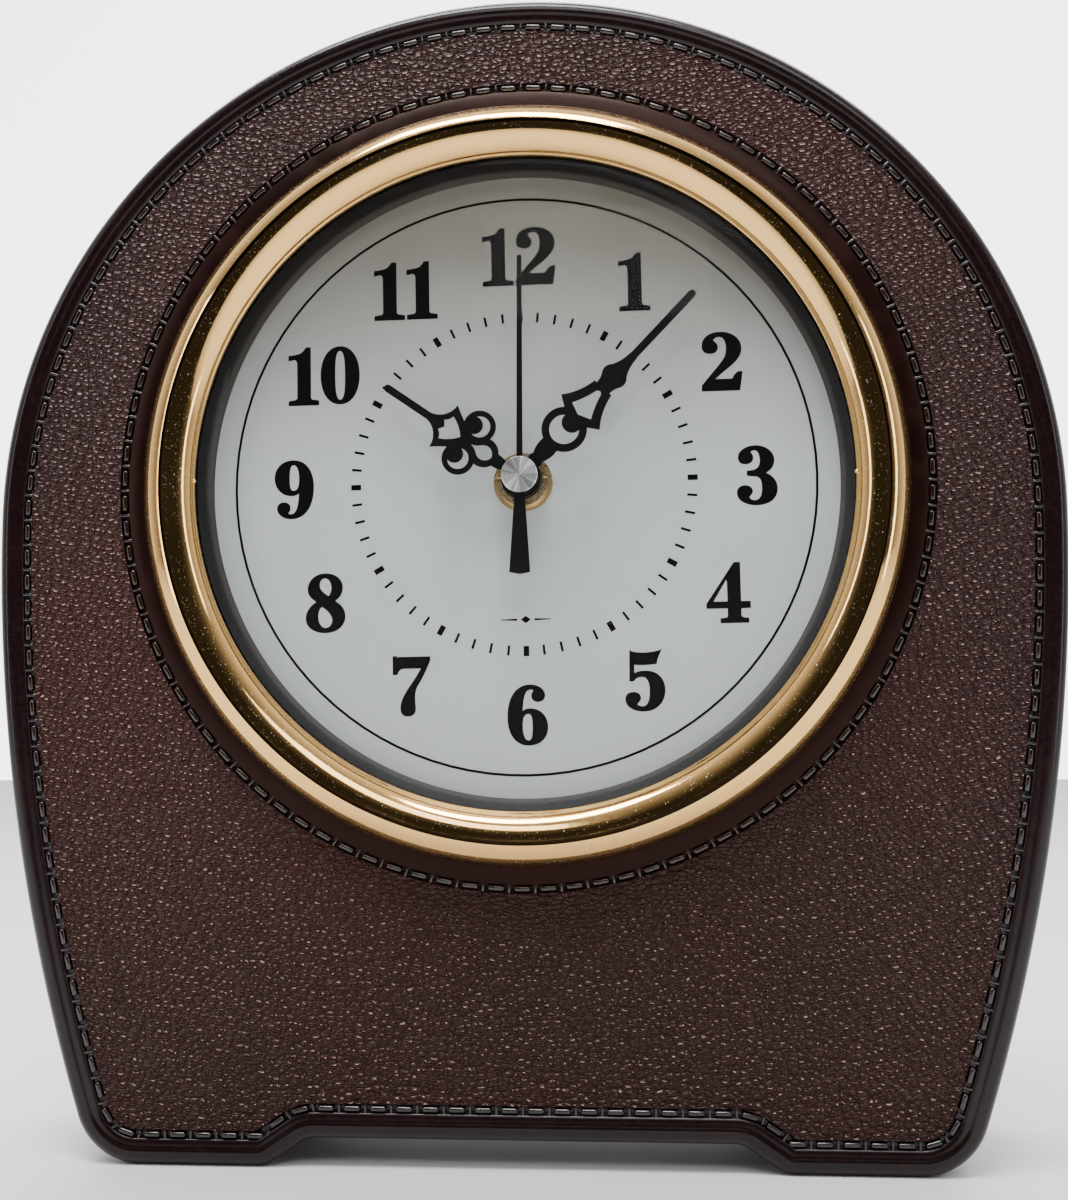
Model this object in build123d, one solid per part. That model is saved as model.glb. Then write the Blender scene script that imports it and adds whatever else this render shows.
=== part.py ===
from build123d import *
from math import acos, asin, atan2, cos, hypot, pi, radians, sin, sqrt, tan
import os

# An arched mantel clock on two feet, with a round dial, a gilt bezel and a quartz movement.
# Millimetres. +X is to the right seen from the front, +Z is up, and the face looks along -Y.
# The origin is under the middle of the clock, at the level that its feet stand on.

os.makedirs("parts", exist_ok=True)

# ---- Case
arch_radius = 104.4
arch_centre_z = 124.2
flank_radius = 370.0
corner_radius = 13.0
foot_inner_x = 49.0
notch_height = 5.3
notch_half_width = 41.0
notch_round = 5.0
case_depth = 42.0
case_wall = 2.5
rim_round = 2.8
rim_width = 4.5
rim_height = 0.6

# ---- Dial, lens and bezel, all round the dial axis
dial_rise = 7.0
dial_recess = 4.5
dial_thickness = 0.8
dial_overlap = 2.2
reveal_taper = 2.1
bezel_inner_radius = 64.2
bezel_inner_band = 5.8
bezel_outer_band = 4.8
bezel_height = 5.9
bezel_edge_height = 2.6
bezel_lip = 0.8
groove_half_width = 0.4
groove_depth = 0.6
spigot_wall = 1.6
spigot_length = 2.0
ring_wall = 1.6
seat_clearance = 0.2
lens_thickness = 1.4
lens_slope = 1.0
lens_gap = 0.8
boss_margin = 2.0
peg_radius = 1.7
peg_gap = 0.2
screw_count = 4
bezel_screw_radius = 0.9
bezel_screw_head = 2.8
bezel_screw_length = 4.0
dial_screw_radius = 1.1
dial_screw_head = 3.2
dial_screw_length = 3.7
dial_screw_margin = 1.5
screw_head_thickness = 1.2
screw_gap = 0.05
screw_end_gap = 0.5

# ---- Rear cover
cover_thickness = 2.5
cover_recess = 2.0
cover_gap = 0.3
well_gap = 0.6
well_wall = 1.6
well_overlap = 3.0
post_radius = 4.0
post_inset = 1.5
post_angles = (35.0, 95.0)
low_post_inset = 16.0
low_post_z = 17.0
cover_screw_radius = 1.5
cover_screw_head = 3.0
cover_screw_length = 10.0
cover_screw_head_thickness = 1.7
cover_screw_cross = 0.7

# ---- Movement
movement_top = 28.0
movement_corner = 4.0
movement_wall = 1.2
front_wall = 0.8
housing_split = 5.0
gasket_radius = 9.0
gasket_thickness = 1.0
stem_radius = 4.0
stem_height = 4.2
stem_clearance = 0.2
washer_radius = 5.85
washer_thickness = 0.4
nut_radius = 5.0
nut_thickness = 2.2
nut_slot = 1.4
cell_radius = 7.15
cell_length = 50.5
cell_pip_radius = 2.6
cell_pip = 1.0
cell_gap = 0.3
cell_flush = 0.1
cell_edge_round = 0.5
contact_room = 1.55
contact_gap = 0.1
contact_thickness = 0.4
contact_height = 9.0
divider_wall = 1.0
plate_depth = 5.2
plate_thickness = 0.8
plate_gap = 0.3
pillar_radius = 1.5
pillar_inset = 4.8
train_margin = 1.69

# ---- Train: teeth and modules
pressure_angle = 25.0
wheel_addendum = 0.70
pinion_dedendum = 1.05
backlash_share = 0.12
fine_module = 0.25
second_module = 0.30
motion_module = 0.40
rotor_pinion_teeth = 10
intermediate_teeth = 60
intermediate_pinion_teeth = 12
second_wheel_teeth = 60
second_pinion_teeth = 8
third_wheel_teeth = 60
third_pinion_teeth = 8
centre_wheel_teeth = 64
minute_pinion_teeth = 12
motion_wheel_teeth = 36
motion_pinion_teeth = 10
hour_wheel_teeth = 40
setting_teeth = 24
running_gap = 0.06
pivot_radius = 0.4
arbor_radius = 0.5
minute_tube_radius = 1.4
hour_tube_radius = 2.4
setting_shaft_radius = 1.5
magnet_radius = 3.0
magnet_thickness = 2.0
air_gap = 0.4
knob_radius = 7.0
knob_height = 4.6
knob_gap = 0.4
knob_flutes = 20
flute_radius = 0.7

# ---- Spans of the moving pieces, as depths behind the movement's front face
motion_pinion_span = (1.4, 3.0)
hour_wheel_span = (1.5, 2.5)
minute_pinion_span = (3.0, 4.6)
motion_wheel_span = (3.4, 4.3)
third_pinion_span = (6.2, 7.4)
centre_wheel_span = (6.4, 7.0)
centre_hub_span = (6.2, 7.1)
minute_collar_span = (7.2, 7.6)
second_pinion_span = (7.9, 9.1)
third_wheel_span = (8.2, 8.8)
stator_span = (8.8, 9.6)
intermediate_pinion_span = (9.3, 10.7)
second_wheel_span = (9.7, 10.3)
rotor_pinion_span = (11.0, 12.2)
intermediate_wheel_span = (11.3, 11.9)
board_span = (12.4, 13.4)
bearing_depth = 13.0
motion_bearing_depth = 1.3
setting_bearing_depth = 2.4
pivot_socket = 0.4
end_shake = 0.1

# ---- Electric parts, in X and Z from the dial axis
board_x = (13.5, 26.0)
board_z = (8.0, 26.0)
board_post_radius = 1.2
board_post_inset = 2.0
chip_radius = 2.6
chip_thickness = 0.9
crystal_radius = 1.0
crystal_length = 6.0
coil_z = 20.0
core_x = (-23.5, -3.5)
core_width = 3.0
core_thickness = 0.8
core_gap = 0.05
bobbin_x = (-20.2, -6.8)
bobbin_wall = 0.6
flange_radius = 3.8
winding_radius = 3.2
pole_margin = 5.0

# ---- Hands, by their heights over the dial
hand_thickness = 0.4
hour_hand_height = 5.4
minute_hand_height = 7.2
second_hand_height = 8.8
hour_hand_length = 32.6
minute_hand_length = 49.3
second_hand_length = 43.2
second_tail_length = 19.2
hour_hub_radius = 3.8
minute_hub_radius = 3.6
second_hub_radius = 2.2
cap_radius = 3.5
cap_thickness = 0.8
cap_chamfer = 0.15
hour_angle = -55.3
minute_angle = 43.5
second_angle = 0.0

# ---- Lens, seated behind the bezel's lip and domed over the hands
dial_z = arch_centre_z + dial_rise
cap_height = second_hand_height + hand_thickness
lens_front = bezel_edge_height - bezel_lip
lens_back = lens_front - lens_thickness
dome_radius = bezel_inner_radius - lens_slope / 2
dome_inner_radius = dome_radius - lens_slope


def rise_over(radius, height):
    """Inner rise of a dome that clears a point at a height over the dial."""
    return (height + lens_gap - dial_recess - lens_back) / (1 - (radius / dome_inner_radius) ** 2)


dome_rise = max(
    rise_over(second_hand_length, cap_height),
    rise_over(minute_hand_length, minute_hand_height + hand_thickness),
    rise_over(cap_radius, cap_height + cap_thickness),
)
lens_crown = lens_back + dome_rise + lens_thickness

# ---- Places in the movement, in X and Z from the dial axis
cell_depth = front_wall + cell_gap + cell_radius
movement_depth = cell_depth + cell_radius + cell_flush
movement_side = cell_length / 2 + contact_room + movement_wall
inner_side = movement_side - movement_wall
inner_top = movement_top - movement_wall
inner_back = movement_depth - movement_wall
train_low = -(second_module * (third_wheel_teeth / 2 + wheel_addendum) + train_margin)
bay_top = train_low - divider_wall
bay_low = bay_top - 2 * (cell_gap + cell_radius)
movement_low = bay_low - movement_wall
cell_x = (cell_pip - cell_gap) / 2
cell_z = (bay_top + bay_low) / 2
core_depth = stator_span[1] + core_thickness / 2
centre_axis = (0.0, 0.0)

# ---- Levels along Y
panel_y = (lens_crown - case_depth) / 2
rear_y = panel_y + case_depth
dial_y = panel_y + dial_recess
dial_back_y = dial_y + dial_thickness
movement_y = dial_back_y + gasket_thickness
movement_rear_y = movement_y + movement_depth
cover_y = rear_y - cover_recess - cover_thickness
cover_back_y = rear_y - cover_recess

# ---- Radii round the dial axis
bezel_crown_radius = bezel_inner_radius + bezel_inner_band
bezel_outer_radius = bezel_crown_radius + bezel_outer_band
dial_sight_radius = bezel_inner_radius - reveal_taper
lens_radius = bezel_inner_radius + ring_wall
spigot_inner = lens_radius + seat_clearance
spigot_outer = spigot_inner + spigot_wall
opening_radius = spigot_outer + seat_clearance
dial_radius = opening_radius + dial_overlap
peg_circle = bezel_outer_radius - peg_radius - seat_clearance
dial_screw_circle = dial_radius + dial_screw_radius + dial_screw_margin
boss_radius = peg_circle + bezel_screw_head + boss_margin

# ---- Foot of the flank arc
flank_x = arch_radius - flank_radius
foot_x = flank_x + sqrt(flank_radius**2 - arch_centre_z**2)


def beside(axis, distance, angle):
    """A point at a distance from an axis, in a direction turned anticlockwise from +X."""
    return (axis[0] + distance * cos(radians(angle)), axis[1] + distance * sin(radians(angle)))


def meshing(module, teeth, other_teeth):
    """The distance between the axes of two wheels in mesh."""
    return module * (teeth + other_teeth) / 2


third_axis = beside(centre_axis, meshing(second_module, second_pinion_teeth, third_wheel_teeth), 0)
third_module = 2 * third_axis[0] / (third_pinion_teeth + centre_wheel_teeth)
intermediate_axis = beside(
    centre_axis, meshing(second_module, intermediate_pinion_teeth, second_wheel_teeth), 180
)
rotor_axis = beside(
    intermediate_axis, meshing(fine_module, rotor_pinion_teeth, intermediate_teeth), 160
)
motion_axis = beside(
    centre_axis, meshing(motion_module, minute_pinion_teeth, motion_wheel_teeth), 90
)
hour_module = 2 * motion_axis[1] / (motion_pinion_teeth + hour_wheel_teeth)
setting_axis = beside(motion_axis, meshing(motion_module, motion_wheel_teeth, setting_teeth), 45)


# ---- Helpers
def ahead(height):
    """The Y of a level that stands in front of the leather panel."""
    return panel_y - height


def over_dial(height):
    """The Y of a level over the dial's face."""
    return dial_y - height


def deep(depth):
    """The Y of a level behind the movement's front face."""
    return movement_y + depth


def layer(sketch, front, back):
    """A flat sketch, drawn as seen from the front, as a solid between two levels."""
    return extrude(Plane.XZ.offset(-back) * sketch, amount=back - front)


def at(axis, radius):
    """A disc on an axis of the movement."""
    return Pos(axis[0], dial_z + axis[1]) * Circle(radius)


def disc(axis, radius, front, back):
    return layer(at(axis, radius), front, back)


def ring(axis, outer, inner, front, back):
    return layer(at(axis, outer) - at(axis, inner), front, back)


def turned(*edges):
    """A profile in radius and Y, turned round the dial axis."""
    return Pos(0, 0, dial_z) * revolve(make_face(Curve() + list(edges)), Axis.Y)


def box_between(x_low, x_high, z_low, z_high, front, back):
    """A block given by its sides from the dial axis."""
    middle = Pos((x_low + x_high) / 2, dial_z + (z_low + z_high) / 2)
    return layer(middle * Rectangle(x_high - x_low, z_high - z_low), front, back)


def around(radius, count, first):
    """Points on a circle round the dial axis."""
    return [beside(centre_axis, radius, first + 360.0 * step / count) for step in range(count)]


def together(solids):
    return Compound(children=[solid for part in solids for solid in part.solids()])


# ---- Toothed wheels
def involute(angle):
    return tan(angle) - angle


def gear_face(teeth, module, turn):
    """An involute wheel's outline round the origin, with one tooth centred at the angle turn."""
    pitch = teeth * module / 2
    base = pitch * cos(radians(pressure_angle))
    root = pitch - pinion_dedendum * module
    tip = pitch + wheel_addendum * module
    half_tooth = pi / 2 / teeth * (1 - backlash_share) + involute(radians(pressure_angle))
    side = []
    for radius in (root, pitch, tip):
        on_flank = max(radius, base)
        side.append((radius, half_tooth - involute(acos(base / on_flank))))
    points = []
    for tooth in range(teeth):
        middle = turn + 2 * pi * tooth / teeth
        angles = [(radius, middle - spread) for radius, spread in side]
        angles += [(radius, middle + spread) for radius, spread in reversed(side)]
        points += [(radius * cos(angle), radius * sin(angle)) for radius, angle in angles]
    return make_face(Polyline(*points, close=True))


def gear(axis, teeth, module, turn, span):
    outline = Pos(axis[0], dial_z + axis[1]) * gear_face(teeth, module, turn)
    return layer(outline, deep(span[0]), deep(span[1]))


def mating_turn(axis, other, teeth, other_teeth, turn):
    """The turn that brings a gap of the other wheel to meet this wheel's teeth."""
    line = atan2(other[1] - axis[1], other[0] - axis[0])
    return line + pi + pi / other_teeth - teeth / other_teeth * (turn - line)


# ---- Case
def case_outline():
    """Half circle over two long flank arcs, standing on two feet."""
    half_drop = asin(arch_centre_z / flank_radius) / 2
    flank_middle = (
        flank_x + flank_radius * cos(half_drop),
        arch_centre_z - flank_radius * sin(half_drop),
    )
    arch = ThreePointArc(
        (arch_radius, arch_centre_z), (0, arch_centre_z + arch_radius), (-arch_radius, arch_centre_z)
    )
    right = ThreePointArc((foot_x, 0), flank_middle, (arch_radius, arch_centre_z))
    left = mirror(right, Plane.YZ)
    base = Polyline(
        (-foot_x, 0),
        (-foot_inner_x, 0),
        (-notch_half_width, notch_height),
        (notch_half_width, notch_height),
        (foot_inner_x, 0),
        (foot_x, 0),
    )
    outline = make_face(Curve() + [arch, right, left, base])
    low = outline.vertices().filter_by(lambda v: v.Y < notch_height + 1)
    corners = low.filter_by(lambda v: abs(v.X) > foot_x - 1)
    steps = low.filter_by(lambda v: abs(v.X) < foot_x - 1)
    outline = fillet(corners, corner_radius)
    points = [(v.X, v.Y) for v in steps]
    steps = [v for v in outline.vertices() if any(hypot(v.X - x, v.Y - z) < 0.01 for x, z in points)]
    return fillet(steps, notch_round)


def post_places():
    """Screw posts inside the case wall: round the arch and over each foot."""
    reach = arch_radius - case_wall - post_radius - post_inset
    places = [beside((0, arch_centre_z - dial_z), reach, 90 - angle) for angle in post_angles]
    places.append((foot_x - low_post_inset, low_post_z - dial_z))
    return places + [(-x, z) for x, z in places]


def front_case():
    outline = case_outline()
    body = layer(outline, ahead(rim_height), rear_y)
    front_edges = body.faces().sort_by(Axis.Y)[0].edges()
    body = fillet(front_edges, rim_round)
    body -= layer(offset(outline, -rim_width), ahead(rim_height), panel_y)
    body -= layer(offset(outline, -case_wall), panel_y + case_wall, rear_y)
    body += disc(centre_axis, boss_radius, panel_y + case_wall, dial_y)
    for place in post_places():
        body += disc(place, post_radius, panel_y + case_wall, cover_y)
    body -= disc(centre_axis, opening_radius, ahead(rim_height), dial_y)
    for place in post_places():
        bottom = cover_back_y - cover_screw_length - screw_end_gap
        body -= disc(place, cover_screw_radius + screw_gap, bottom, cover_y)
    for place in around(peg_circle, screw_count, 45):
        body -= disc(place, peg_radius + seat_clearance, panel_y, dial_y)
    for place in around(dial_screw_circle, screw_count, 0):
        bottom = dial_back_y - dial_screw_length - screw_end_gap
        body -= disc(place, dial_screw_radius + screw_gap, bottom, dial_y)
    return body


def rear_cover():
    """Flat lid inside the case wall, with a well that leads to the movement's back."""
    lid = layer(offset(case_outline(), -case_wall - cover_gap), cover_y, cover_back_y)
    well_front = movement_rear_y - well_overlap
    lid += layer(movement_outline(well_gap + well_wall), well_front, cover_back_y)
    lid -= layer(movement_outline(well_gap), well_front, cover_back_y)
    for place in post_places():
        lid -= disc(place, cover_screw_radius + seat_clearance, cover_y, cover_back_y)
    return lid


def rear_cover_screws():
    screws = []
    for place in post_places():
        head = disc(place, cover_screw_head, cover_back_y, cover_back_y + cover_screw_head_thickness)
        slot = Rectangle(2 * cover_screw_radius, cover_screw_cross)
        cross = Pos(place[0], dial_z + place[1]) * (slot + Rot(0, 0, 90) * slot)
        bottom = cover_back_y + cover_screw_head_thickness / 2
        head -= layer(cross, bottom, cover_back_y + cover_screw_head_thickness)
        shank = disc(place, cover_screw_radius, cover_back_y - cover_screw_length, cover_back_y)
        screws.append(head + shank)
    return together(screws)


# ---- Bezel, lens and dial
def profile_point(radius, height):
    """A point of a turned profile, by its height over the leather panel."""
    return (radius, ahead(height))


def bezel_ring():
    """Two convex bands with a groove at the crown, a lip over the lens and screw pegs behind."""
    foot = profile_point(bezel_outer_radius, 0)
    outer_crest = profile_point(bezel_crown_radius + groove_half_width, bezel_height)
    groove = profile_point(bezel_crown_radius, bezel_height - groove_depth)
    inner_crest = profile_point(bezel_crown_radius - groove_half_width, bezel_height)
    edge = profile_point(bezel_inner_radius, bezel_edge_height)
    outer_belly = profile_point(
        bezel_outer_radius - 0.25 * (bezel_outer_radius - bezel_crown_radius), 0.70 * bezel_height
    )
    inner_belly = profile_point(
        bezel_inner_radius + 0.36 * (bezel_crown_radius - bezel_inner_radius), 0.87 * bezel_height
    )
    ring_body = turned(
        ThreePointArc(foot, outer_belly, outer_crest),
        Line(outer_crest, groove),
        Line(groove, inner_crest),
        ThreePointArc(inner_crest, inner_belly, edge),
        Polyline(
            edge,
            profile_point(bezel_inner_radius, lens_front),
            profile_point(spigot_inner, lens_front),
            profile_point(spigot_inner, -spigot_length),
            profile_point(spigot_outer, -spigot_length),
            profile_point(spigot_outer, 0),
            foot,
        ),
    )
    for place in around(peg_circle, screw_count, 45):
        ring_body += disc(place, peg_radius, panel_y, dial_y - peg_gap)
    for place in around(peg_circle, screw_count, 45):
        pilot = bezel_screw_radius + screw_gap
        bottom = dial_y - bezel_screw_length - screw_end_gap
        ring_body -= disc(place, pilot, bottom, dial_y - peg_gap)
    return ring_body


def bezel_screws():
    screws = []
    for place in around(peg_circle, screw_count, 45):
        head = disc(place, bezel_screw_head, dial_y, dial_y + screw_head_thickness)
        screws.append(head + disc(place, bezel_screw_radius, dial_y - bezel_screw_length, dial_y))
    return together(screws)


def dome_arc(rim_radius, rim_level, rise):
    """Arc from the dial axis out to a rim, on a ball that rises by the given height."""
    ball = (rim_radius**2 + rise**2) / (2 * rise)
    middle = rim_radius / 2
    height = rim_level + sqrt(ball**2 - middle**2) - (ball - rise)
    return ThreePointArc(
        profile_point(0, rim_level + rise),
        profile_point(middle, height),
        profile_point(rim_radius, rim_level),
    )


def lens():
    outer = dome_arc(dome_radius, lens_front, lens_crown - lens_front)
    inner_crown = lens_crown - lens_thickness
    inner = dome_arc(dome_inner_radius, lens_back, dome_rise)
    flange = Polyline(
        profile_point(dome_inner_radius, lens_back),
        profile_point(lens_radius, lens_back),
        profile_point(lens_radius, lens_front),
        profile_point(dome_radius, lens_front),
    )
    return turned(
        outer, inner, flange, Line(profile_point(0, lens_crown), profile_point(0, inner_crown))
    )


def reveal_ring():
    """Dark conical ring between the lens and the dial."""
    return turned(
        Polyline(
            profile_point(bezel_inner_radius, lens_back),
            profile_point(lens_radius, lens_back),
            profile_point(lens_radius, -dial_recess),
            profile_point(dial_sight_radius, -dial_recess),
            close=True,
        )
    )


def dial_plate():
    return ring(centre_axis, dial_radius, stem_radius + stem_clearance, dial_y, dial_back_y)


def dial_screws():
    screws = []
    for place in around(dial_screw_circle, screw_count, 0):
        head = disc(place, dial_screw_head, dial_back_y, dial_back_y + screw_head_thickness)
        shank = disc(place, dial_screw_radius, dial_back_y - dial_screw_length, dial_back_y)
        screws.append(head + shank)
    return together(screws)


# ---- Movement housings and fittings
def movement_outline(margin):
    """The movement's rounded outline seen from the front, grown by a margin."""
    width = 2 * (movement_side + margin)
    height = movement_top - movement_low + 2 * margin
    middle = dial_z + (movement_top + movement_low) / 2
    return Pos(0, middle) * RectangleRounded(width, height, movement_corner + margin)


def chamber(z_low, z_high, front, back):
    """An inner space of the movement from one side wall to the other."""
    return box_between(-inner_side, inner_side, z_low, z_high, deep(front), deep(back))


def pillar_places():
    side = movement_side - pillar_inset
    low = train_low + 2 * pillar_radius
    high = movement_top - pillar_inset
    return [(-side, low), (side, low), (-side, high), (side, high)]


def movement_front_housing():
    """Tray with the threaded stem, the floor of the cell bay and the front bearings."""
    body = layer(movement_outline(0), deep(0), deep(housing_split))
    body -= chamber(train_low, inner_top, front_wall, housing_split)
    body -= chamber(bay_low, bay_top, front_wall, housing_split)
    for place in pillar_places():
        body += disc(place, pillar_radius, deep(front_wall), deep(plate_depth))
    body += disc(centre_axis, stem_radius, over_dial(stem_height), deep(front_wall))
    bore = hour_tube_radius + running_gap
    body -= disc(centre_axis, bore, over_dial(stem_height), deep(front_wall))
    body += disc(motion_axis, 3 * pivot_radius, deep(front_wall), deep(motion_bearing_depth))
    socket = pivot_radius + running_gap
    body -= disc(motion_axis, socket, deep(pivot_socket), deep(motion_bearing_depth))
    body += disc(setting_axis, 2 * setting_shaft_radius, deep(front_wall), deep(setting_bearing_depth))
    socket = setting_shaft_radius + running_gap
    return body - disc(setting_axis, socket, deep(front_wall), deep(setting_bearing_depth))


def movement_rear_housing():
    """Rear shell, closed behind the train and open behind the cell."""
    body = layer(movement_outline(0), deep(housing_split), movement_rear_y)
    body -= chamber(train_low, inner_top, housing_split, inner_back)
    body -= chamber(bay_low, bay_top, housing_split, movement_depth)
    socket = pivot_radius + running_gap
    for axis in (centre_axis, third_axis, intermediate_axis, rotor_axis):
        body += disc(axis, 4 * pivot_radius, deep(bearing_depth), deep(inner_back))
        body -= disc(axis, socket, deep(bearing_depth), deep(inner_back + 2 * end_shake))
    for place in board_post_places():
        body += disc(place, board_post_radius, deep(board_span[1]), deep(inner_back))
    hole = setting_shaft_radius + running_gap
    return body - disc(setting_axis, hole, deep(inner_back), movement_rear_y)


def train_plate():
    """Plate that parts the motion work from the going train and holds the front pivots."""
    front = deep(plate_depth)
    back = deep(plate_depth + plate_thickness)
    side = inner_side - plate_gap
    body = box_between(-side, side, train_low + plate_gap, inner_top - plate_gap, front, back)
    holes = [(centre_axis, minute_tube_radius), (setting_axis, setting_shaft_radius)]
    pivots = (third_axis, intermediate_axis, rotor_axis, motion_axis)
    holes += [(axis, pivot_radius) for axis in pivots]
    for axis, radius in holes:
        body -= disc(axis, radius + running_gap, front, back)
    return body


def rubber_gasket():
    inner = stem_radius + stem_clearance
    return ring(centre_axis, gasket_radius, inner, dial_back_y, movement_y)


def brass_washer():
    inner = stem_radius + stem_clearance
    return ring(centre_axis, washer_radius, inner, over_dial(washer_thickness), dial_y)


def brass_nut():
    """Round nut on the stem, with two slots for a spanner."""
    back = over_dial(washer_thickness)
    front = back - nut_thickness
    body = ring(centre_axis, nut_radius, stem_radius + screw_gap, front, back)
    slot = Pos(0, dial_z) * Rectangle(2 * nut_radius, nut_slot)
    return body - layer(slot, front, front + nut_thickness / 3)


# ---- Electric parts
def along_x(radius, x_range, depth, z):
    """A round bar lying across the movement."""
    bar = Rot(0, 90, 0) * Cylinder(radius, x_range[1] - x_range[0])
    return Pos((x_range[0] + x_range[1]) / 2, deep(depth), dial_z + z) * bar


def board_post_places():
    middle = (board_x[0] + board_x[1]) / 2
    return [(middle, board_z[0] + board_post_inset), (middle, board_z[1] - board_post_inset)]


def circuit_board():
    return box_between(*board_x, *board_z, deep(board_span[0]), deep(board_span[1]))


def timing_chip():
    """Potted chip on the front of the board."""
    place = (board_x[0] + 2 * chip_radius, board_z[0] + 2 * chip_radius)
    front = deep(board_span[0] - chip_thickness)
    blob = disc(place, chip_radius, front, deep(board_span[0]))
    return fillet(blob.faces().sort_by(Axis.Y)[0].edges(), chip_thickness / 2)


def quartz_crystal():
    """Small can lying along the board."""
    left = board_x[0] + crystal_length / 2
    depth = board_span[0] - crystal_radius - core_gap
    z = board_z[1] - 4 * crystal_radius
    return along_x(crystal_radius, (left, left + crystal_length), depth, z)


def core_space(gap, x_range):
    """The room that the flat core needs along the coil."""
    return box_between(
        *x_range,
        coil_z - core_width / 2 - gap,
        coil_z + core_width / 2 + gap,
        deep(core_depth - core_thickness / 2 - gap),
        deep(core_depth + core_thickness / 2 + gap),
    )


def coil_core():
    return core_space(0, core_x)


def coil_bobbin():
    spool = along_x(core_width / 2 + bobbin_wall, bobbin_x, core_depth, coil_z)
    for end, inward in ((bobbin_x[0], bobbin_wall), (bobbin_x[1], -bobbin_wall)):
        spool += along_x(flange_radius, sorted((end, end + inward)), core_depth, coil_z)
    return spool - core_space(core_gap, bobbin_x)


def coil_winding():
    span = (bobbin_x[0] + bobbin_wall, bobbin_x[1] - bobbin_wall)
    winding = along_x(winding_radius, span, core_depth, coil_z)
    return winding - along_x(core_width / 2 + bobbin_wall, span, core_depth, coil_z)


def stator_plate():
    """Two pole arms of one steel plate that lead the coil's field round the rotor."""
    x, z = rotor_axis
    pole_top = z + pole_margin + core_width / 2
    coil_top = coil_z + core_width / 2
    under_coil = coil_z - flange_radius - core_width / 2
    outline = Polyline(
        (x - pole_margin, z - pole_margin),
        (x + pole_margin, z - pole_margin),
        (x + pole_margin, z + pole_margin),
        (core_x[1], under_coil),
        (core_x[1], coil_top),
        (core_x[1] - core_width, coil_top),
        (core_x[1] - core_width, under_coil + core_width / 2),
        (x + core_width, pole_top),
        (core_x[0] + core_width, pole_top),
        (core_x[0] + core_width, coil_top),
        (core_x[0], coil_top),
        (core_x[0], pole_top),
        close=True,
    )
    front = deep(stator_span[0])
    back = deep(stator_span[1])
    plate = layer(Pos(0, dial_z) * make_face(outline), front, back)
    return plate - disc(rotor_axis, magnet_radius + air_gap, front, back)


def battery_cell():
    """Round cell lying across the bay, with its pip to the right."""
    left = cell_x - cell_length / 2
    shoulder = left + cell_length - cell_pip
    case = along_x(cell_radius, (left, shoulder), cell_depth, cell_z)
    case = fillet(case.edges(), cell_edge_round)
    return case + along_x(cell_pip_radius, (shoulder, left + cell_length), cell_depth, cell_z)


def contact(side, end_x, boss):
    """Upright spring plate at one end of the cell bay, with a boss that meets the cell."""
    wall_x = side * (inner_side - contact_gap)
    plate_x = sorted((wall_x, wall_x - side * contact_thickness))
    low = cell_z - contact_height / 2
    high = cell_z + contact_height / 2
    front = deep(front_wall + contact_thickness)
    back = deep(movement_depth - 4 * contact_thickness)
    plate = box_between(*plate_x, low, high, front, back)
    return plate + along_x(boss, sorted((wall_x, end_x + side * contact_gap)), cell_depth, cell_z)


def battery_contact_positive():
    return contact(1, cell_x + cell_length / 2, cell_pip_radius)


def battery_contact_negative():
    return contact(-1, cell_x - cell_length / 2, 0.6 * cell_radius)


# ---- Going train
def drum(axis, radius, span):
    return disc(axis, radius, deep(span[0]), deep(span[1]))


def pivoted_arbor(axis):
    """An arbor with a thin pivot at each end, in the train plate and the rear housing."""
    shoulder = plate_depth + plate_thickness + end_shake
    body = drum(axis, pivot_radius, (plate_depth + end_shake, inner_back))
    return body + drum(axis, arbor_radius, (shoulder, bearing_depth - end_shake))


def second_arbor():
    """Steel pin through the centre, from the second hand to the rear bearing."""
    shoulder = deep(bearing_depth - end_shake)
    body = disc(centre_axis, arbor_radius, over_dial(cap_height), shoulder)
    return body + disc(centre_axis, pivot_radius, shoulder, deep(inner_back))


def second_wheel():
    """Seconds wheel and pinion on the centre pin."""
    body = gear(centre_axis, second_pinion_teeth, second_module, 0, second_pinion_span)
    body += drum(centre_axis, 2 * arbor_radius, (second_pinion_span[1], second_wheel_span[0]))
    turn = mating_turn(
        intermediate_axis, centre_axis, intermediate_pinion_teeth, second_wheel_teeth, 0
    )
    body += gear(centre_axis, second_wheel_teeth, second_module, turn, second_wheel_span)
    reach = (second_pinion_span[0], second_wheel_span[1])
    return body - drum(centre_axis, arbor_radius + screw_gap, reach)


def third_wheel():
    body = pivoted_arbor(third_axis)
    body += gear(third_axis, third_pinion_teeth, third_module, 0, third_pinion_span)
    body += drum(third_axis, 2 * arbor_radius, (third_pinion_span[1], third_wheel_span[0]))
    turn = mating_turn(centre_axis, third_axis, second_pinion_teeth, third_wheel_teeth, 0)
    return body + gear(third_axis, third_wheel_teeth, second_module, turn, third_wheel_span)


def intermediate_wheel():
    axis = intermediate_axis
    body = pivoted_arbor(axis)
    body += gear(axis, intermediate_pinion_teeth, second_module, 0, intermediate_pinion_span)
    reach = (intermediate_pinion_span[1], intermediate_wheel_span[0])
    body += drum(axis, 2 * arbor_radius, reach)
    turn = mating_turn(rotor_axis, axis, rotor_pinion_teeth, intermediate_teeth, 0)
    return body + gear(axis, intermediate_teeth, fine_module, turn, intermediate_wheel_span)


def rotor_pinion():
    body = pivoted_arbor(rotor_axis)
    return body + gear(rotor_axis, rotor_pinion_teeth, fine_module, 0, rotor_pinion_span)


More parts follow.
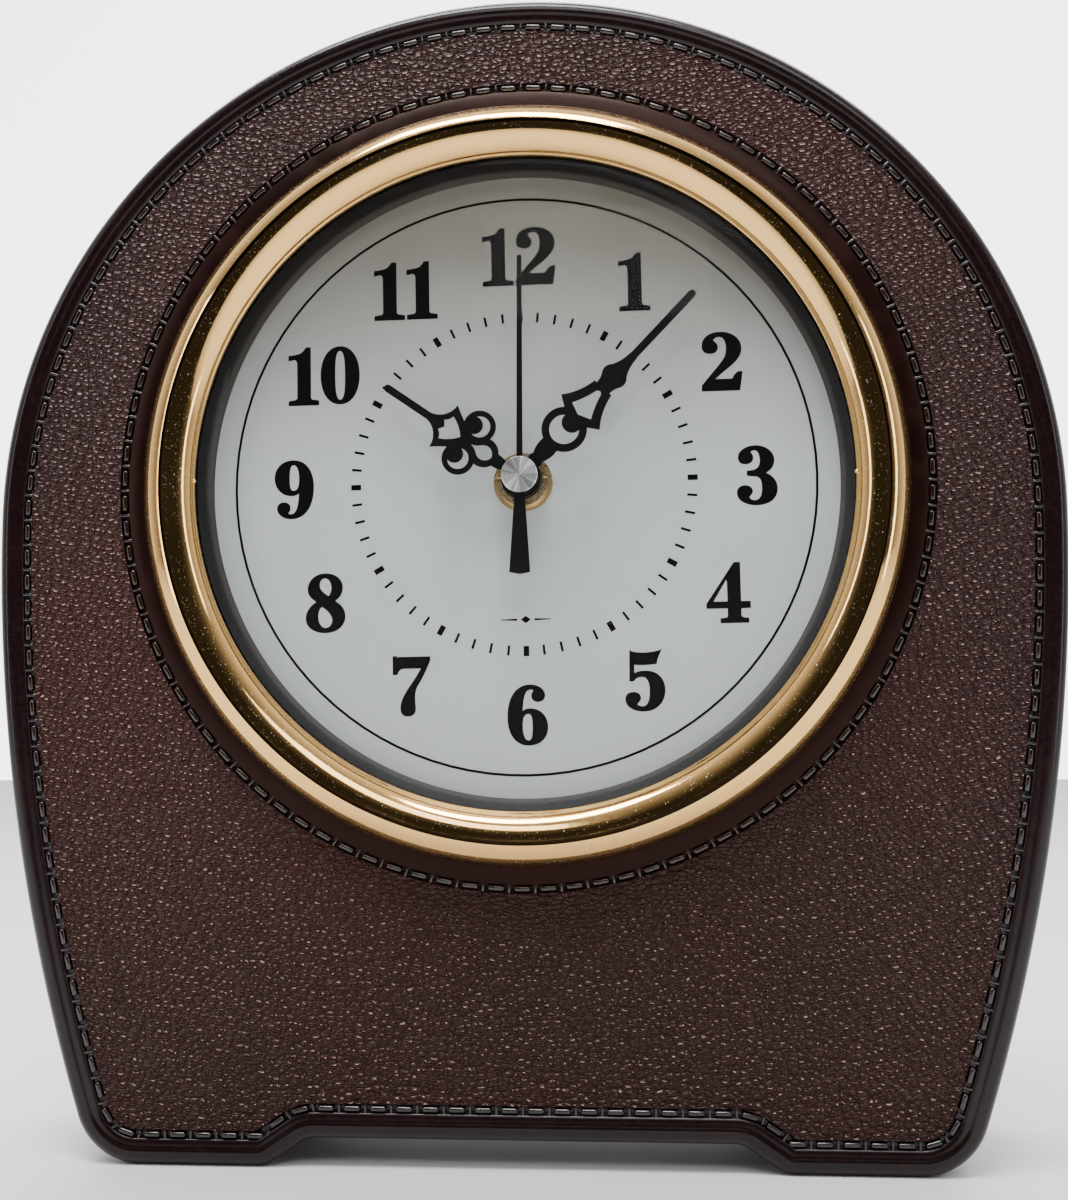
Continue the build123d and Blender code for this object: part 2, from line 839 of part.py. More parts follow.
def rotor_magnet():
    """Magnet disc on the rotor's arbor, level with the stator."""
    middle = (stator_span[0] + stator_span[1]) / 2
    span = (middle - magnet_thickness / 2, middle + magnet_thickness / 2)
    body = drum(rotor_axis, magnet_radius, span)
    return body - drum(rotor_axis, arbor_radius + screw_gap, span)


def centre_wheel():
    """Turns with the train and drives the minute arbor through a friction fit."""
    turn = mating_turn(third_axis, centre_axis, third_pinion_teeth, centre_wheel_teeth, 0)
    body = gear(centre_axis, centre_wheel_teeth, third_module, turn, centre_wheel_span)
    body += drum(centre_axis, 2 * minute_tube_radius, centre_hub_span)
    return body - drum(centre_axis, minute_tube_radius + running_gap, centre_hub_span)


# ---- Motion work
def minute_arbor():
    """Tube that carries the minute hand, with its pinion and a rear collar."""
    front = over_dial(minute_hand_height + hand_thickness)
    back = deep(minute_collar_span[1])
    body = disc(centre_axis, minute_tube_radius, front, back)
    body += gear(centre_axis, minute_pinion_teeth, motion_module, 0, minute_pinion_span)
    body += drum(centre_axis, 2 * minute_tube_radius, minute_collar_span)
    return body - disc(centre_axis, arbor_radius + running_gap, front, back)


def motion_wheel():
    axis = motion_axis
    body = drum(axis, pivot_radius, (pivot_socket + end_shake, plate_depth + plate_thickness))
    body += gear(axis, motion_pinion_teeth, hour_module, 0, motion_pinion_span)
    body += drum(axis, 2 * arbor_radius, (motion_pinion_span[1], motion_wheel_span[0]))
    return body + gear(
        axis, motion_wheel_teeth, motion_module, motion_wheel_turn(), motion_wheel_span
    )


def motion_wheel_turn():
    return mating_turn(centre_axis, motion_axis, minute_pinion_teeth, motion_wheel_teeth, 0)


def hour_wheel():
    """Outer tube that carries the hour hand, with its wheel."""
    front = over_dial(hour_hand_height + hand_thickness)
    back = deep(hour_wheel_span[1])
    body = disc(centre_axis, hour_tube_radius, front, back)
    turn = mating_turn(motion_axis, centre_axis, motion_pinion_teeth, hour_wheel_teeth, 0)
    body += gear(centre_axis, hour_wheel_teeth, hour_module, turn, hour_wheel_span)
    return body - disc(centre_axis, minute_tube_radius + running_gap, front, back)


def setting_arbor():
    """Shaft through the movement, with the wheel that turns the motion wheel."""
    span = (front_wall + end_shake, movement_depth + knob_gap + knob_height / 2)
    body = drum(setting_axis, setting_shaft_radius, span)
    turn = mating_turn(
        motion_axis, setting_axis, motion_wheel_teeth, setting_teeth, motion_wheel_turn()
    )
    return body + gear(setting_axis, setting_teeth, motion_module, turn, motion_wheel_span)


def setting_knob():
    """Fluted knob behind the movement, pressed on the setting arbor."""
    front = movement_depth + knob_gap
    grip = at(setting_axis, knob_radius)
    for flute in range(knob_flutes):
        place = beside(setting_axis, knob_radius + flute_radius / 2, 360.0 * flute / knob_flutes)
        grip -= at(place, flute_radius)
    body = layer(grip, deep(front), deep(front + knob_height))
    socket = setting_shaft_radius + screw_gap
    return body - drum(setting_axis, socket, (front, front + knob_height / 2 + end_shake))


# ---- Hands, drawn pointing up from the dial axis
def mirrored_face(*edges):
    """A face from its right half, whose ends lie on the hand's middle line."""
    half_outline = Curve() + list(edges)
    return make_face(half_outline + mirror(half_outline, Plane.YZ))


def pointer(half_width, low, high):
    """A straight bar with a round tip."""
    length = high - half_width - low
    bar = Pos(0, low + length / 2) * Rectangle(2 * half_width, length)
    return bar + Pos(0, high - half_width) * Circle(half_width)


def crescent(centre, radius, filling, shift):
    """A moon-shaped hole: a round hole less a disc that fills one side of it."""
    hole = Pos(*centre) * Circle(radius)
    return hole - Pos(centre[0] + shift[0], centre[1] + shift[1]) * Circle(filling)


def placed_hand(sketch, angle, height):
    """A hand of sheet metal, turned clockwise from twelve to its place over the dial."""
    blade = Plane.XZ * sketch
    solid = extrude(blade, amount=hand_thickness)
    return Pos(0, over_dial(height), dial_z) * (Rot(0, angle, 0) * solid)


def hour_hand():
    """Serpentine hand: hub, leaf, two scrolls, winged shield and pointer."""
    scroll_z = 12.4
    scroll_x = 3.75
    leaf = mirrored_face(
        ThreePointArc((0, 3.0), (1.1, 4.6), (1.3, 6.2)),
        ThreePointArc((1.3, 6.2), (2.9, 9.0), (1.7, 11.4)),
        Polyline((1.7, 11.4), (1.7, 14.4), (0, 14.4)),
    )
    shield = mirrored_face(
        Line((0, 13.4), (1.9, 13.6)),
        ThreePointArc((1.9, 13.6), (3.3, 16.0), (4.9, 18.4)),
        ThreePointArc((4.9, 18.4), (2.2, 19.4), (0.75, 23.2)),
        Line((0.75, 23.2), (0, 23.2)),
    )
    sketch = Circle(hour_hub_radius) + leaf + shield
    sketch += pointer(0.75, 22.0, hour_hand_length)
    for side in (-1, 1):
        sketch += Pos(side * scroll_x, scroll_z) * Circle(3.2)
    for side in (-1, 1):
        sketch -= crescent((side * scroll_x, scroll_z), 2.1, 1.75, (-side * 0.35, 1.1))
    sketch -= mirrored_face(
        ThreePointArc((0, 7.0), (1.45, 8.6), (0.9, 10.1)),
        ThreePointArc((0.9, 10.1), (0.35, 10.9), (0, 11.9)),
    )
    sketch -= mirrored_face(
        ThreePointArc((0, 14.4), (1.5, 15.9), (2.6, 17.9)),
        ThreePointArc((2.6, 17.9), (1.7, 18.3), (1.1, 19.0)),
        Line((1.1, 19.0), (0, 18.2)),
    )
    sketch -= Circle(hour_tube_radius + 0.03)
    return placed_hand(sketch, hour_angle, hour_hand_height)


def minute_hand():
    """Serpentine hand: hub, ring with a crescent, winged shield, bulb and pointer."""
    neck = mirrored_face(
        ThreePointArc((0, 3.0), (1.3, 3.6), (1.25, 5.0)),
        ThreePointArc((1.25, 5.0), (1.9, 7.4), (1.5, 9.6)),
        Line((1.5, 9.6), (0, 9.6)),
    )
    shield = mirrored_face(
        Line((0, 15.0), (2.0, 15.0)),
        Line((2.0, 15.0), (5.1, 17.0)),
        ThreePointArc((5.1, 17.0), (3.4, 19.6), (2.2, 23.4)),
        Line((2.2, 23.4), (0, 23.4)),
    )
    bulb = mirrored_face(
        Line((0, 22.6), (1.8, 22.6)),
        ThreePointArc((1.8, 22.6), (1.75, 24.3), (2.3, 25.6)),
        ThreePointArc((2.3, 25.6), (2.55, 26.8), (1.9, 28.0)),
        ThreePointArc((1.9, 28.0), (1.15, 29.8), (0.85, 32.0)),
        Line((0.85, 32.0), (0, 32.0)),
    )
    sketch = Circle(minute_hub_radius) + neck + shield + bulb
    sketch += Pos(0, 12.4) * Circle(4.4)
    sketch += pointer(0.75, 31.0, minute_hand_length)
    sketch -= crescent((0, 12.4), 2.9, 2.0, (0.2, 2.0))
    sketch -= mirrored_face(
        Line((0, 16.3), (2.5, 17.3)),
        ThreePointArc((2.5, 17.3), (1.5, 19.4), (0.6, 22.2)),
        Line((0.6, 22.2), (0, 22.6)),
    )
    sketch -= Circle(minute_tube_radius + 0.03)
    return placed_hand(sketch, minute_angle, minute_hand_height)


def second_hand():
    """Straight hand with a flared tail."""
    blade = mirrored_face(
        Line((0, 0), (0.6, 0)),
        Line((0.6, 0), (0.45, second_hand_length)),
        Line((0.45, second_hand_length), (0, second_hand_length)),
    )
    tail = mirrored_face(
        Line((0, 0), (0.75, 0)),
        Line((0.75, 0), (2.0, -second_tail_length + 0.4)),
        Line((2.0, -second_tail_length + 0.4), (0, -second_tail_length)),
    )
    sketch = Circle(second_hub_radius) + blade + tail - Circle(arbor_radius + 0.03)
    return placed_hand(sketch, second_angle, second_hand_height)


def second_hand_cap():
    front = over_dial(cap_height + cap_thickness)
    cap = disc(centre_axis, cap_radius, front, over_dial(cap_height))
    return chamfer(cap.faces().sort_by(Axis.Y)[0].edges(), cap_chamfer)


makers = (
    front_case,
    rear_cover,
    rear_cover_screws,
    bezel_ring,
    bezel_screws,
    lens,
    reveal_ring,
    dial_plate,
    dial_screws,
    movement_front_housing,
    movement_rear_housing,
    train_plate,
    rubber_gasket,
    brass_washer,
    brass_nut,
    circuit_board,
    timing_chip,
    quartz_crystal,
    coil_core,
    coil_bobbin,
    coil_winding,
    stator_plate,
    battery_cell,
    battery_contact_positive,
    battery_contact_negative,
    rotor_pinion,
    rotor_magnet,
    intermediate_wheel,
    second_arbor,
    second_wheel,
    third_wheel,
    centre_wheel,
    minute_arbor,
    motion_wheel,
    hour_wheel,
    setting_arbor,
    setting_knob,
    hour_hand,
    minute_hand,
    second_hand,
    second_hand_cap,
)

for maker in makers:
    export_step(maker(), os.path.join("parts", maker.__name__ + ".step"))
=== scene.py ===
from math import asin, atan2, cos, hypot, pi, radians, sin, sqrt, tan

import bmesh
import bpy
from mathutils import Euler, Matrix, Vector


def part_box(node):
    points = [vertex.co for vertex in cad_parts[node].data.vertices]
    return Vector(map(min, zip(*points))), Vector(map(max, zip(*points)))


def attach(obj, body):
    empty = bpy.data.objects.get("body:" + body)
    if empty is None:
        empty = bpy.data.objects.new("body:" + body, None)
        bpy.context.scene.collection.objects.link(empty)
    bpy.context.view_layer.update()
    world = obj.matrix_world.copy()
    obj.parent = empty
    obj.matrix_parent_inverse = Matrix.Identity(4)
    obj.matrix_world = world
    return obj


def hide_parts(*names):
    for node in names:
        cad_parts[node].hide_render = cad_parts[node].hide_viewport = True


bl_info = {
    "name": "Mantel clock",
    "version": (1, 0, 0),
    "blender": (4, 5, 0),
    "location": "View3D > Sidebar > Clock",
    "description": "Builds the finished look of an arched leather-look mantel clock",
    "category": "Add Mesh",
}

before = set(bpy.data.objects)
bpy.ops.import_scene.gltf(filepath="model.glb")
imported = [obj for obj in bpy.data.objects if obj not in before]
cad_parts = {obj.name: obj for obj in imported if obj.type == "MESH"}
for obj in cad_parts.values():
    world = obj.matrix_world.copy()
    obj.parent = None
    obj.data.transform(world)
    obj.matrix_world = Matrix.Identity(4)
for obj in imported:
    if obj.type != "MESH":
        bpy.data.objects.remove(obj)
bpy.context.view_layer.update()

MM = 0.001
BACK = Vector((0.0, 1.0, 0.0))

# ---- Places that come from the frame
DIAL_LOW, DIAL_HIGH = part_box("dial_plate")
BEZEL_LOW, BEZEL_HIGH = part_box("bezel_ring")
CASE_LOW, CASE_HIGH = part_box("front_case")
LENS_LOW, LENS_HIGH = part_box("lens")
REVEAL_LOW, REVEAL_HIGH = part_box("reveal_ring")
DIAL_Y = DIAL_LOW.y
DIAL_Z = (DIAL_LOW.z + DIAL_HIGH.z) / 2
RIM_Y = CASE_LOW.y
REAR_Y = CASE_HIGH.y
ARCH_RADIUS = CASE_HIGH.x
ARCH_Z = CASE_HIGH.z - ARCH_RADIUS
BEZEL_OUTER = BEZEL_HIGH.x
AXIS = Vector((0.0, 0.0, DIAL_Z))
IN_PLACE = Matrix.Identity(4)

# ---- How finely curves are drawn
ARCH_STEPS = 72
FLANK_STEPS = 36
CORNER_STEPS = 18
SOLE_STEPS = 8
BEND_STEPS = 6
SLOPE_STEPS = 4
SILL_STEPS = 16
RING_STEPS = 288


# ---- Sizes and colours that a user would change
def length(name, description, default):
    return bpy.props.FloatProperty(name=name, description=description, default=default, unit="LENGTH")


def colour(name, description, default):
    return bpy.props.FloatVectorProperty(
        name=name, description=description, default=default, subtype="COLOR", size=3, min=0.0, max=1.0
    )


class CaseSizes(bpy.types.PropertyGroup):
    """Sizes of the moulded case, its rim and its stitching."""

    rim_height: length("Rim height", "How far the rim stands over the panel", 0.6 * MM)
    bead_width: length("Bead width", "Width of the rounded outer bead of the rim", 3.1 * MM)
    band_width: length("Band width", "Width of the smooth band inside the bead", 1.5 * MM)
    channel_width: length("Channel width", "Width of the groove that holds the stitches", 1.85 * MM)
    channel_depth: length("Channel depth", "Depth of the groove that holds the stitches", 0.85 * MM)
    stitch_pitch: length("Stitch pitch", "Distance from one stitch to the next", 5.0 * MM)
    stitch_length: length("Stitch length", "Length of a stitch", 3.1 * MM)
    stitch_width: length("Stitch width", "Width of a stitch", 1.05 * MM)
    web_width: length("Web width", "Width of the web between two stitches", 0.52 * MM)
    collar_width: length("Collar width", "Smooth ring between the bezel and its stitches", 3.2 * MM)
    wall: length("Wall", "Thickness of the moulded wall", 2.5 * MM)
    round_over: length("Round over", "Radius of the bead's outer edge", 2.4 * MM)
    land: length("Land", "Flat between the smooth band and the groove", 0.25 * MM)
    flank_radius: length("Flank radius", "Radius of the case's bowed flanks", 370 * MM)
    corner_radius: length("Corner radius", "Radius of the two lower corners", 13 * MM)
    notch_height: length("Notch height", "Height of the arch between the feet", 5.3 * MM)
    heel_reach: length("Heel reach", "Where a foot starts to slope, from the middle", 49 * MM)
    notch_reach: length("Notch reach", "Where the slope reaches the notch, from the middle", 41 * MM)
    foot_fillet: length("Foot fillet", "Radius at both ends of a foot's slope", 5 * MM)
    leather: colour("Leather", "Colour of the moulded leather", (0.0052, 0.0009, 0.0017))
    warm_leather: colour("Warm leather", "Redder cloud in the leather colour", (0.020, 0.0022, 0.0009))
    rim: colour("Rim", "Colour of the smooth rim", (0.0070, 0.0022, 0.0026))


class BezelSizes(bpy.types.PropertyGroup):
    """Radii of the bezel and of the rings and lens that it holds."""

    inner_radius: length("Inner radius", "Radius of the bezel's inner edge", 64.2 * MM)
    crown_radius: length("Crown radius", "Radius of the groove on the bezel's crown", 70.0 * MM)
    groove_width: length("Groove width", "Width of the groove on the crown", 0.8 * MM)
    seat_radius: length("Seat radius", "Radius of the seat that holds the lens", 66.0 * MM)
    spigot_radius: length("Spigot radius", "Radius of the spigot that enters the case", 67.6 * MM)
    opening_radius: length("Opening radius", "Radius of the hole in the case", 68.0 * MM)
    lens_radius: length("Lens radius", "Radius of the lens's dome", 63.7 * MM)
    reveal_radius: length("Reveal radius", "Inner radius of the dark ring at the dial", 62.1 * MM)


class DialSizes(bpy.types.PropertyGroup):
    """Sizes of the printing on the dial."""

    print_turn: bpy.props.FloatProperty(
        name="Print turn",
        description="How far the printing is turned anticlockwise on the dial",
        default=radians(0.97),
        subtype="ANGLE",
    )
    circle_radius: length("Circle radius", "Radius of the thin ring outside the numerals", 57.6 * MM)
    circle_width: length("Circle width", "Width of the thin ring", 0.5 * MM)
    track_radius: length("Track radius", "Radius of the middle of the minute strokes", 33.4 * MM)
    stroke_length: length("Stroke length", "Length of a minute stroke", 2.0 * MM)
    stroke_width: length("Stroke width", "Width of a minute stroke", 0.5 * MM)
    hour_stroke_width: length("Hour stroke width", "Width of every fifth stroke", 1.1 * MM)
    numeral_height: length("Numeral height", "Height of a numeral", 11.5 * MM)
    numeral_radius: length("Numeral radius", "Distance of the numerals from the axis", 45.9 * MM)
    numeral_weight: length("Numeral weight", "How far a numeral's outline is fattened", 0.20 * MM)
    ornament_drop: length("Ornament drop", "How far the ornament lies below the axis", 27.2 * MM)
    ink_height: length("Ink height", "Thickness of the printing", 0.04 * MM)
    ink: colour("Ink", "Colour of the printing", (0.0025, 0.0022, 0.0022))
    silver: colour("Silver", "Colour of the dial", (0.46, 0.495, 0.51))


# ---- Shader expressions
class Signal:
    """A value in a tree of nodes, written as a plain expression."""

    def __init__(self, tree, socket):
        self.tree = tree
        self.socket = socket

    def math(self, operation, *values):
        return self.tree.add("ShaderNodeMath", {"operation": operation}, dict(enumerate(values)))

    def __add__(self, other):
        return self.math("ADD", self, other)

    def __radd__(self, other):
        return self.math("ADD", other, self)

    def __sub__(self, other):
        return self.math("SUBTRACT", self, other)

    def __rsub__(self, other):
        return self.math("SUBTRACT", other, self)

    def __mul__(self, other):
        return self.math("MULTIPLY", self, other)

    def __rmul__(self, other):
        return self.math("MULTIPLY", other, self)

    def sine(self):
        return self.math("SINE", self)


class Tree:
    """The nodes of a finish or of the room."""

    def __init__(self, nodes):
        self.nodes = nodes

    def add(self, kind, settings, sockets, output=0):
        """Makes a node: its settings first, then its sockets."""
        node = self.nodes.nodes.new(kind)
        for name, value in settings.items():
            setattr(node, name, value)
        for key, value in sockets.items():
            if isinstance(value, Signal):
                self.nodes.links.new(value.socket, node.inputs[key])
            elif node.inputs[key].type == "RGBA" and len(value) == 3:
                node.inputs[key].default_value = (*value, 1.0)
            else:
                node.inputs[key].default_value = value
        return Signal(self, node.outputs[output])

    def part(self, vector, axis):
        """One of the X, Y and Z parts of a vector."""
        return self.add("ShaderNodeSeparateXYZ", {}, {0: vector}, axis)

    def ramp(self, value, low, high, to_low=0.0, to_high=1.0):
        """A smooth step from to_low to to_high as the value goes from low to high."""
        sockets = {0: value, 1: low, 2: high, 3: to_low, 4: to_high}
        return self.add("ShaderNodeMapRange", {"interpolation_type": "SMOOTHSTEP"}, sockets)


class Finish(Tree):
    """A material built round one Principled shader."""

    def __init__(self, name, **constants):
        self.material = bpy.data.materials.new(name)
        self.material.use_nodes = True
        super().__init__(self.material.node_tree)
        self.shader = self.nodes.nodes["Principled BSDF"]
        for socket, value in constants.items():
            self.set(socket.replace("_", " "), value)

    def set(self, socket, value):
        """Sets or links a socket of the shader."""
        target = self.shader.inputs[socket]
        if isinstance(value, Signal):
            self.nodes.links.new(value.socket, target)
        elif target.type == "RGBA":
            target.default_value = (*value, 1.0)
        else:
            target.default_value = value

    def place(self):
        return self.add("ShaderNodeTexCoord", {}, {}, "Object")

    def vector(self, operation, *values):
        return self.add("ShaderNodeVectorMath", {"operation": operation}, dict(enumerate(values)))

    def stretch(self, vector, scale):
        """A vector taken from the dial axis and scaled along each axis."""
        return self.vector("MULTIPLY", self.vector("SUBTRACT", vector, AXIS), scale)

    def reach(self, vector):
        """The length of a vector."""
        return self.add("ShaderNodeVectorMath", {"operation": "LENGTH"}, {0: vector}, "Value")

    def noise(self, vector, scale, detail=3.0, output="Fac"):
        sockets = {"Vector": vector, "Scale": scale, "Detail": detail}
        return self.add("ShaderNodeTexNoise", {}, sockets, output)

    def cells(self, vector, scale, feature, **extra):
        sockets = {"Vector": vector, "Scale": scale, **extra}
        return self.add("ShaderNodeTexVoronoi", {"feature": feature}, sockets, "Distance")

    def blend(self, factor, first, second):
        """Mixes two colours."""
        return self.add("ShaderNodeMix", {"data_type": "RGBA"}, {0: factor, 6: first, 7: second}, 2)

    def relief(self, height, distance, strength=1.0):
        """Bumps the surface by a height that counts in units of distance."""
        sockets = {"Height": height, "Distance": distance, "Strength": strength}
        self.set("Normal", self.add("ShaderNodeBump", {}, sockets))
        return self


# ---- Finishes
def leather_finish():
    """Moulded leather: rounded pebbles with creases between them, in clouded burgundy."""
    sizes = bpy.context.scene.clock_case
    pebbles = 860.0
    relief = 0.95 * MM
    brown = (0.0062, 0.0015, 0.0006)
    finish = Finish("moulded_leather", Specular_IOR_Level=0.42, Specular_Tint=(1.0, 0.62, 0.58))
    place = finish.place()
    drift = finish.noise(place, 420.0, 2.0, "Color")
    shift = finish.add("ShaderNodeVectorMath", {"operation": "SCALE"}, {0: drift, "Scale": 1.0 * MM})
    grain = finish.stretch(finish.vector("ADD", place, shift), (0.74, 1.0, 1.26))
    reach = finish.cells(grain, pebbles, "SMOOTH_F1", Smoothness=0.12)
    domes = 1.0 - reach * reach * 1.9
    creases = finish.ramp(finish.cells(grain, pebbles, "DISTANCE_TO_EDGE"), 0.0, 0.13)
    fine = finish.noise(place, 3200.0, 2.0)
    height = domes * 0.55 + creases * 0.55 + fine * 0.05
    finish.relief(height, relief)
    level = finish.part(place, "Z")
    across = finish.part(place, "X")
    tone = finish.blend(finish.ramp(level, 95 * MM, 25 * MM), sizes.leather, brown)
    cloud = finish.noise(place, 12.0, 2.0)
    left = finish.ramp(across, 30 * MM, -50 * MM) * finish.ramp(level, 150 * MM, 60 * MM)
    warm = finish.ramp(cloud + left * 0.20, 0.46, 0.84, 0.0, 0.85)
    finish.set("Base Color", finish.blend(warm, tone, sizes.warm_leather))
    finish.set("Roughness", finish.ramp(height, 0.45, 1.1, 0.32, 0.18))
    return finish.material


def rim_finish():
    """Smooth glossy moulding with faint ripples."""
    sizes = bpy.context.scene.clock_case
    light = (0.0095, 0.0030, 0.0034)
    finish = Finish("moulded_rim", Specular_IOR_Level=0.30)
    place = finish.place()
    ripple = finish.noise(place, 160.0)
    speck = finish.noise(place, 1500.0, 2.0)
    finish.set("Roughness", finish.ramp(speck, 0.3, 0.75, 0.17, 0.27))
    finish.set("Base Color", finish.blend(finish.ramp(ripple, 0.45, 0.7), sizes.rim, light))
    return finish.relief(ripple, 0.06 * MM, 0.3).material


def collar_finish():
    """The smooth collar round the bezel, duller than the rim."""
    dark = (0.0060, 0.0016, 0.0014)
    light = (0.0085, 0.0022, 0.0018)
    finish = Finish("moulded_collar", Specular_IOR_Level=0.16, Specular_Tint=(1.0, 0.6, 0.5))
    ripple = finish.ramp(finish.noise(finish.place(), 160.0), 0.45, 0.7)
    finish.set("Roughness", ripple * 0.1 + 0.30)
    finish.set("Base Color", finish.blend(ripple, dark, light))
    return finish.material


def stitch_finish():
    """Glossy moulded thread with a slight twist."""
    sizes = bpy.context.scene.clock_case
    light = (0.016, 0.005, 0.005)
    finish = Finish("moulded_stitch", Roughness=0.2, Specular_IOR_Level=0.5, Coat_Weight=0.35)
    twist = finish.noise(finish.place(), 1900.0, 2.0)
    finish.set("Base Color", finish.blend(finish.ramp(twist, 0.4, 0.7), sizes.rim, light))
    return finish.relief(twist, 0.10 * MM, 0.5).material


def gilt_finish():
    """Vacuum gilt: bright, with a little orange peel and settled dust."""
    gold = (0.80, 0.48, 0.17)
    dusty = (0.86, 0.76, 0.60)
    finish = Finish("gilt", Metallic=1.0)
    place = finish.place()
    peel = finish.noise(place, 210.0, 2.0)
    dust = finish.ramp(finish.noise(place, 3800.0, 1.0), 0.69, 0.76)
    patch = finish.noise(place, 60.0)
    finish.set("Base Color", finish.blend(dust, gold, dusty))
    finish.set("Roughness", dust * 0.35 + finish.ramp(patch, 0.3, 0.75, 0.06, 0.12))
    return finish.relief(peel, 0.05 * MM, 0.35).material


def reveal_finish():
    """Black ring with a paler lip at its inner edge."""
    black = (0.0035, 0.0026, 0.0026)
    pale_lip_tone = (0.040, 0.034, 0.030)
    finish = Finish("reveal", Specular_IOR_Level=0.25)
    place = finish.place()
    brushed = finish.noise(place, 900.0, 2.0)
    reach = finish.reach(finish.stretch(place, (1.0, 0.0, 1.0)))
    # Paler towards the ring's inner edge.
    lip = finish.ramp(reach, 62.6 * MM, 63.1 * MM, 1.0, 0.0)
    finish.set("Base Color", finish.blend(lip, black, pale_lip_tone))
    finish.set("Roughness", finish.ramp(brushed, 0.3, 0.7, 0.30, 0.44))
    return finish.material


def lens_finish():
    """Clear moulded lens: it only shows by its gloss, which grows where the surface turns away."""
    finish = Finish("lens", Base_Color=(0.97, 0.98, 1.0), Metallic=1.0, Roughness=0.035)
    gloss = finish.add("ShaderNodeFresnel", {}, {"IOR": 1.46})
    finish.set("Alpha", gloss * 0.08)
    return finish.material


def dial_finish():
    """Satin silver dial with a faint even grain, in the bezel's shade towards the top."""
    sizes = bpy.context.scene.clock_dial
    shaded = (0.150, 0.132, 0.095)
    pale = (0.52, 0.54, 0.54)
    grey = (0.28, 0.29, 0.30)
    finish = Finish("dial_silver", Metallic=0.25, Roughness=0.5)
    place = finish.place()
    fine = finish.noise(place, 5200.0, 2.0)
    broad = finish.noise(place, 24.0, 2.0)
    height = finish.part(place, "Z")
    shade = finish.ramp(height, DIAL_Z - 6 * MM, DIAL_Z + 58 * MM, 0.0, 0.95)
    tone = finish.blend(shade, sizes.silver, shaded)
    tone = finish.blend(finish.ramp(broad, 0.35, 0.75, 0.0, 0.14), tone, pale)
    finish.set("Base Color", finish.blend(finish.ramp(fine, 0.3, 0.75, 0.0, 0.16), tone, grey))
    return finish.relief(fine, 0.02 * MM, 0.4).material


def ink_finish():
    """Matt black ink with a slightly uneven gloss."""
    sizes = bpy.context.scene.clock_dial
    finish = Finish("dial_ink", Base_Color=sizes.ink, Specular_IOR_Level=0.06)
    mottle = finish.noise(finish.place(), 2600.0, 1.0)
    finish.set("Roughness", finish.ramp(mottle, 0.3, 0.7, 0.38, 0.55))
    return finish.material


def hand_finish():
    """Satin black paint."""
    black = (0.003, 0.003, 0.0034)
    light = (0.009, 0.009, 0.009)
    finish = Finish("black_paint", Roughness=0.42, Specular_IOR_Level=0.10)
    fleck = finish.noise(finish.place(), 3000.0, 1.0)
    finish.set("Base Color", finish.blend(finish.ramp(fleck, 0.5, 0.8), black, light))
    return finish.material


def spun_finish():
    """Spun metal cap with fine rings round the axis; its radial streaks of light are a painted
    highlight, laid into its colour by the angle round the axis.
    """
    # Colours of the painted highlight: dark between the streaks of light, bright in them.
    dark = (0.30, 0.30, 0.31)
    bright = (0.95, 0.95, 0.96)
    finish = Finish("spun_silver", Metallic=1.0)
    centred = finish.stretch(finish.place(), (1.0, 0.0, 1.0))
    rings = (finish.reach(centred) * 26000.0).sine()
    across = finish.part(centred, "X")
    rise = finish.part(centred, "Z")
    bearing = finish.add("ShaderNodeMath", {"operation": "ARCTAN2"}, {0: rise, 1: across})
    # Painted highlight: bright and dark sectors by angle round the axis, in the base colour.
    painted_highlight_sectors = (bearing * 2.0 + 0.9).sine() * 0.55
    painted_highlight_sectors = painted_highlight_sectors + (bearing * 10.0).sine() * 0.3
    painted_highlight_sectors = painted_highlight_sectors + (bearing * 23.0).sine() * 0.15
    finish.set("Base Color", finish.blend(finish.ramp(painted_highlight_sectors, -0.7, 0.8), dark, bright))
    finish.set("Roughness", finish.ramp(rings, -1.0, 1.0, 0.24, 0.38))
    return finish.relief(rings, 0.012 * MM, 0.6).material


def metal_finish(name, tone, roughness):
    """Plated, turned or rolled metal with slightly uneven gloss."""
    finish = Finish(name, Metallic=1.0)
    wear = finish.noise(finish.place(), 2400.0, 2.0)
    dark = tuple(0.82 * part for part in tone)
    finish.set("Base Color", finish.blend(finish.ramp(wear, 0.35, 0.75), tone, dark))
    finish.set("Roughness", finish.ramp(wear, 0.3, 0.75, roughness, roughness + 0.12))
    return finish.relief(wear, 0.01 * MM, 0.3).material


def plastic_finish(name, tone, roughness):
    """Moulded plastic with a fine spark texture."""
    finish = Finish(name, Specular_IOR_Level=0.45)
    spark = finish.noise(finish.place(), 1500.0)
    light = tuple(min(1.0, 1.22 * part + 0.002) for part in tone)
    finish.set("Base Color", finish.blend(finish.ramp(spark, 0.35, 0.8), tone, light))
    finish.set("Roughness", finish.ramp(spark, 0.3, 0.75, roughness, roughness + 0.1))
    return finish.relief(spark, 0.05 * MM, 0.5).material


def board_finish():
    """Phenolic board with faint fibres."""
    finish = Finish("board", Roughness=0.5)
    fibre = finish.noise(finish.stretch(finish.place(), (1.0, 1.0, 9.0)), 700.0)
    finish.set("Base Color", finish.blend(fibre, (0.20, 0.10, 0.03), (0.33, 0.19, 0.07)))
    return finish.material


def winding_finish():
    """Enamelled wire: fine turns round the coil's core."""
    finish = Finish("winding", Metallic=0.9, Roughness=0.3)
    turns = (finish.part(finish.place(), "X") * 42000.0).sine()
    shine = finish.ramp(turns, -1.0, 1.0)
    finish.set("Base Color", finish.blend(shine, (0.25, 0.07, 0.025), (0.62, 0.24, 0.10)))
    return finish.relief(turns, 0.03 * MM, 0.6).material


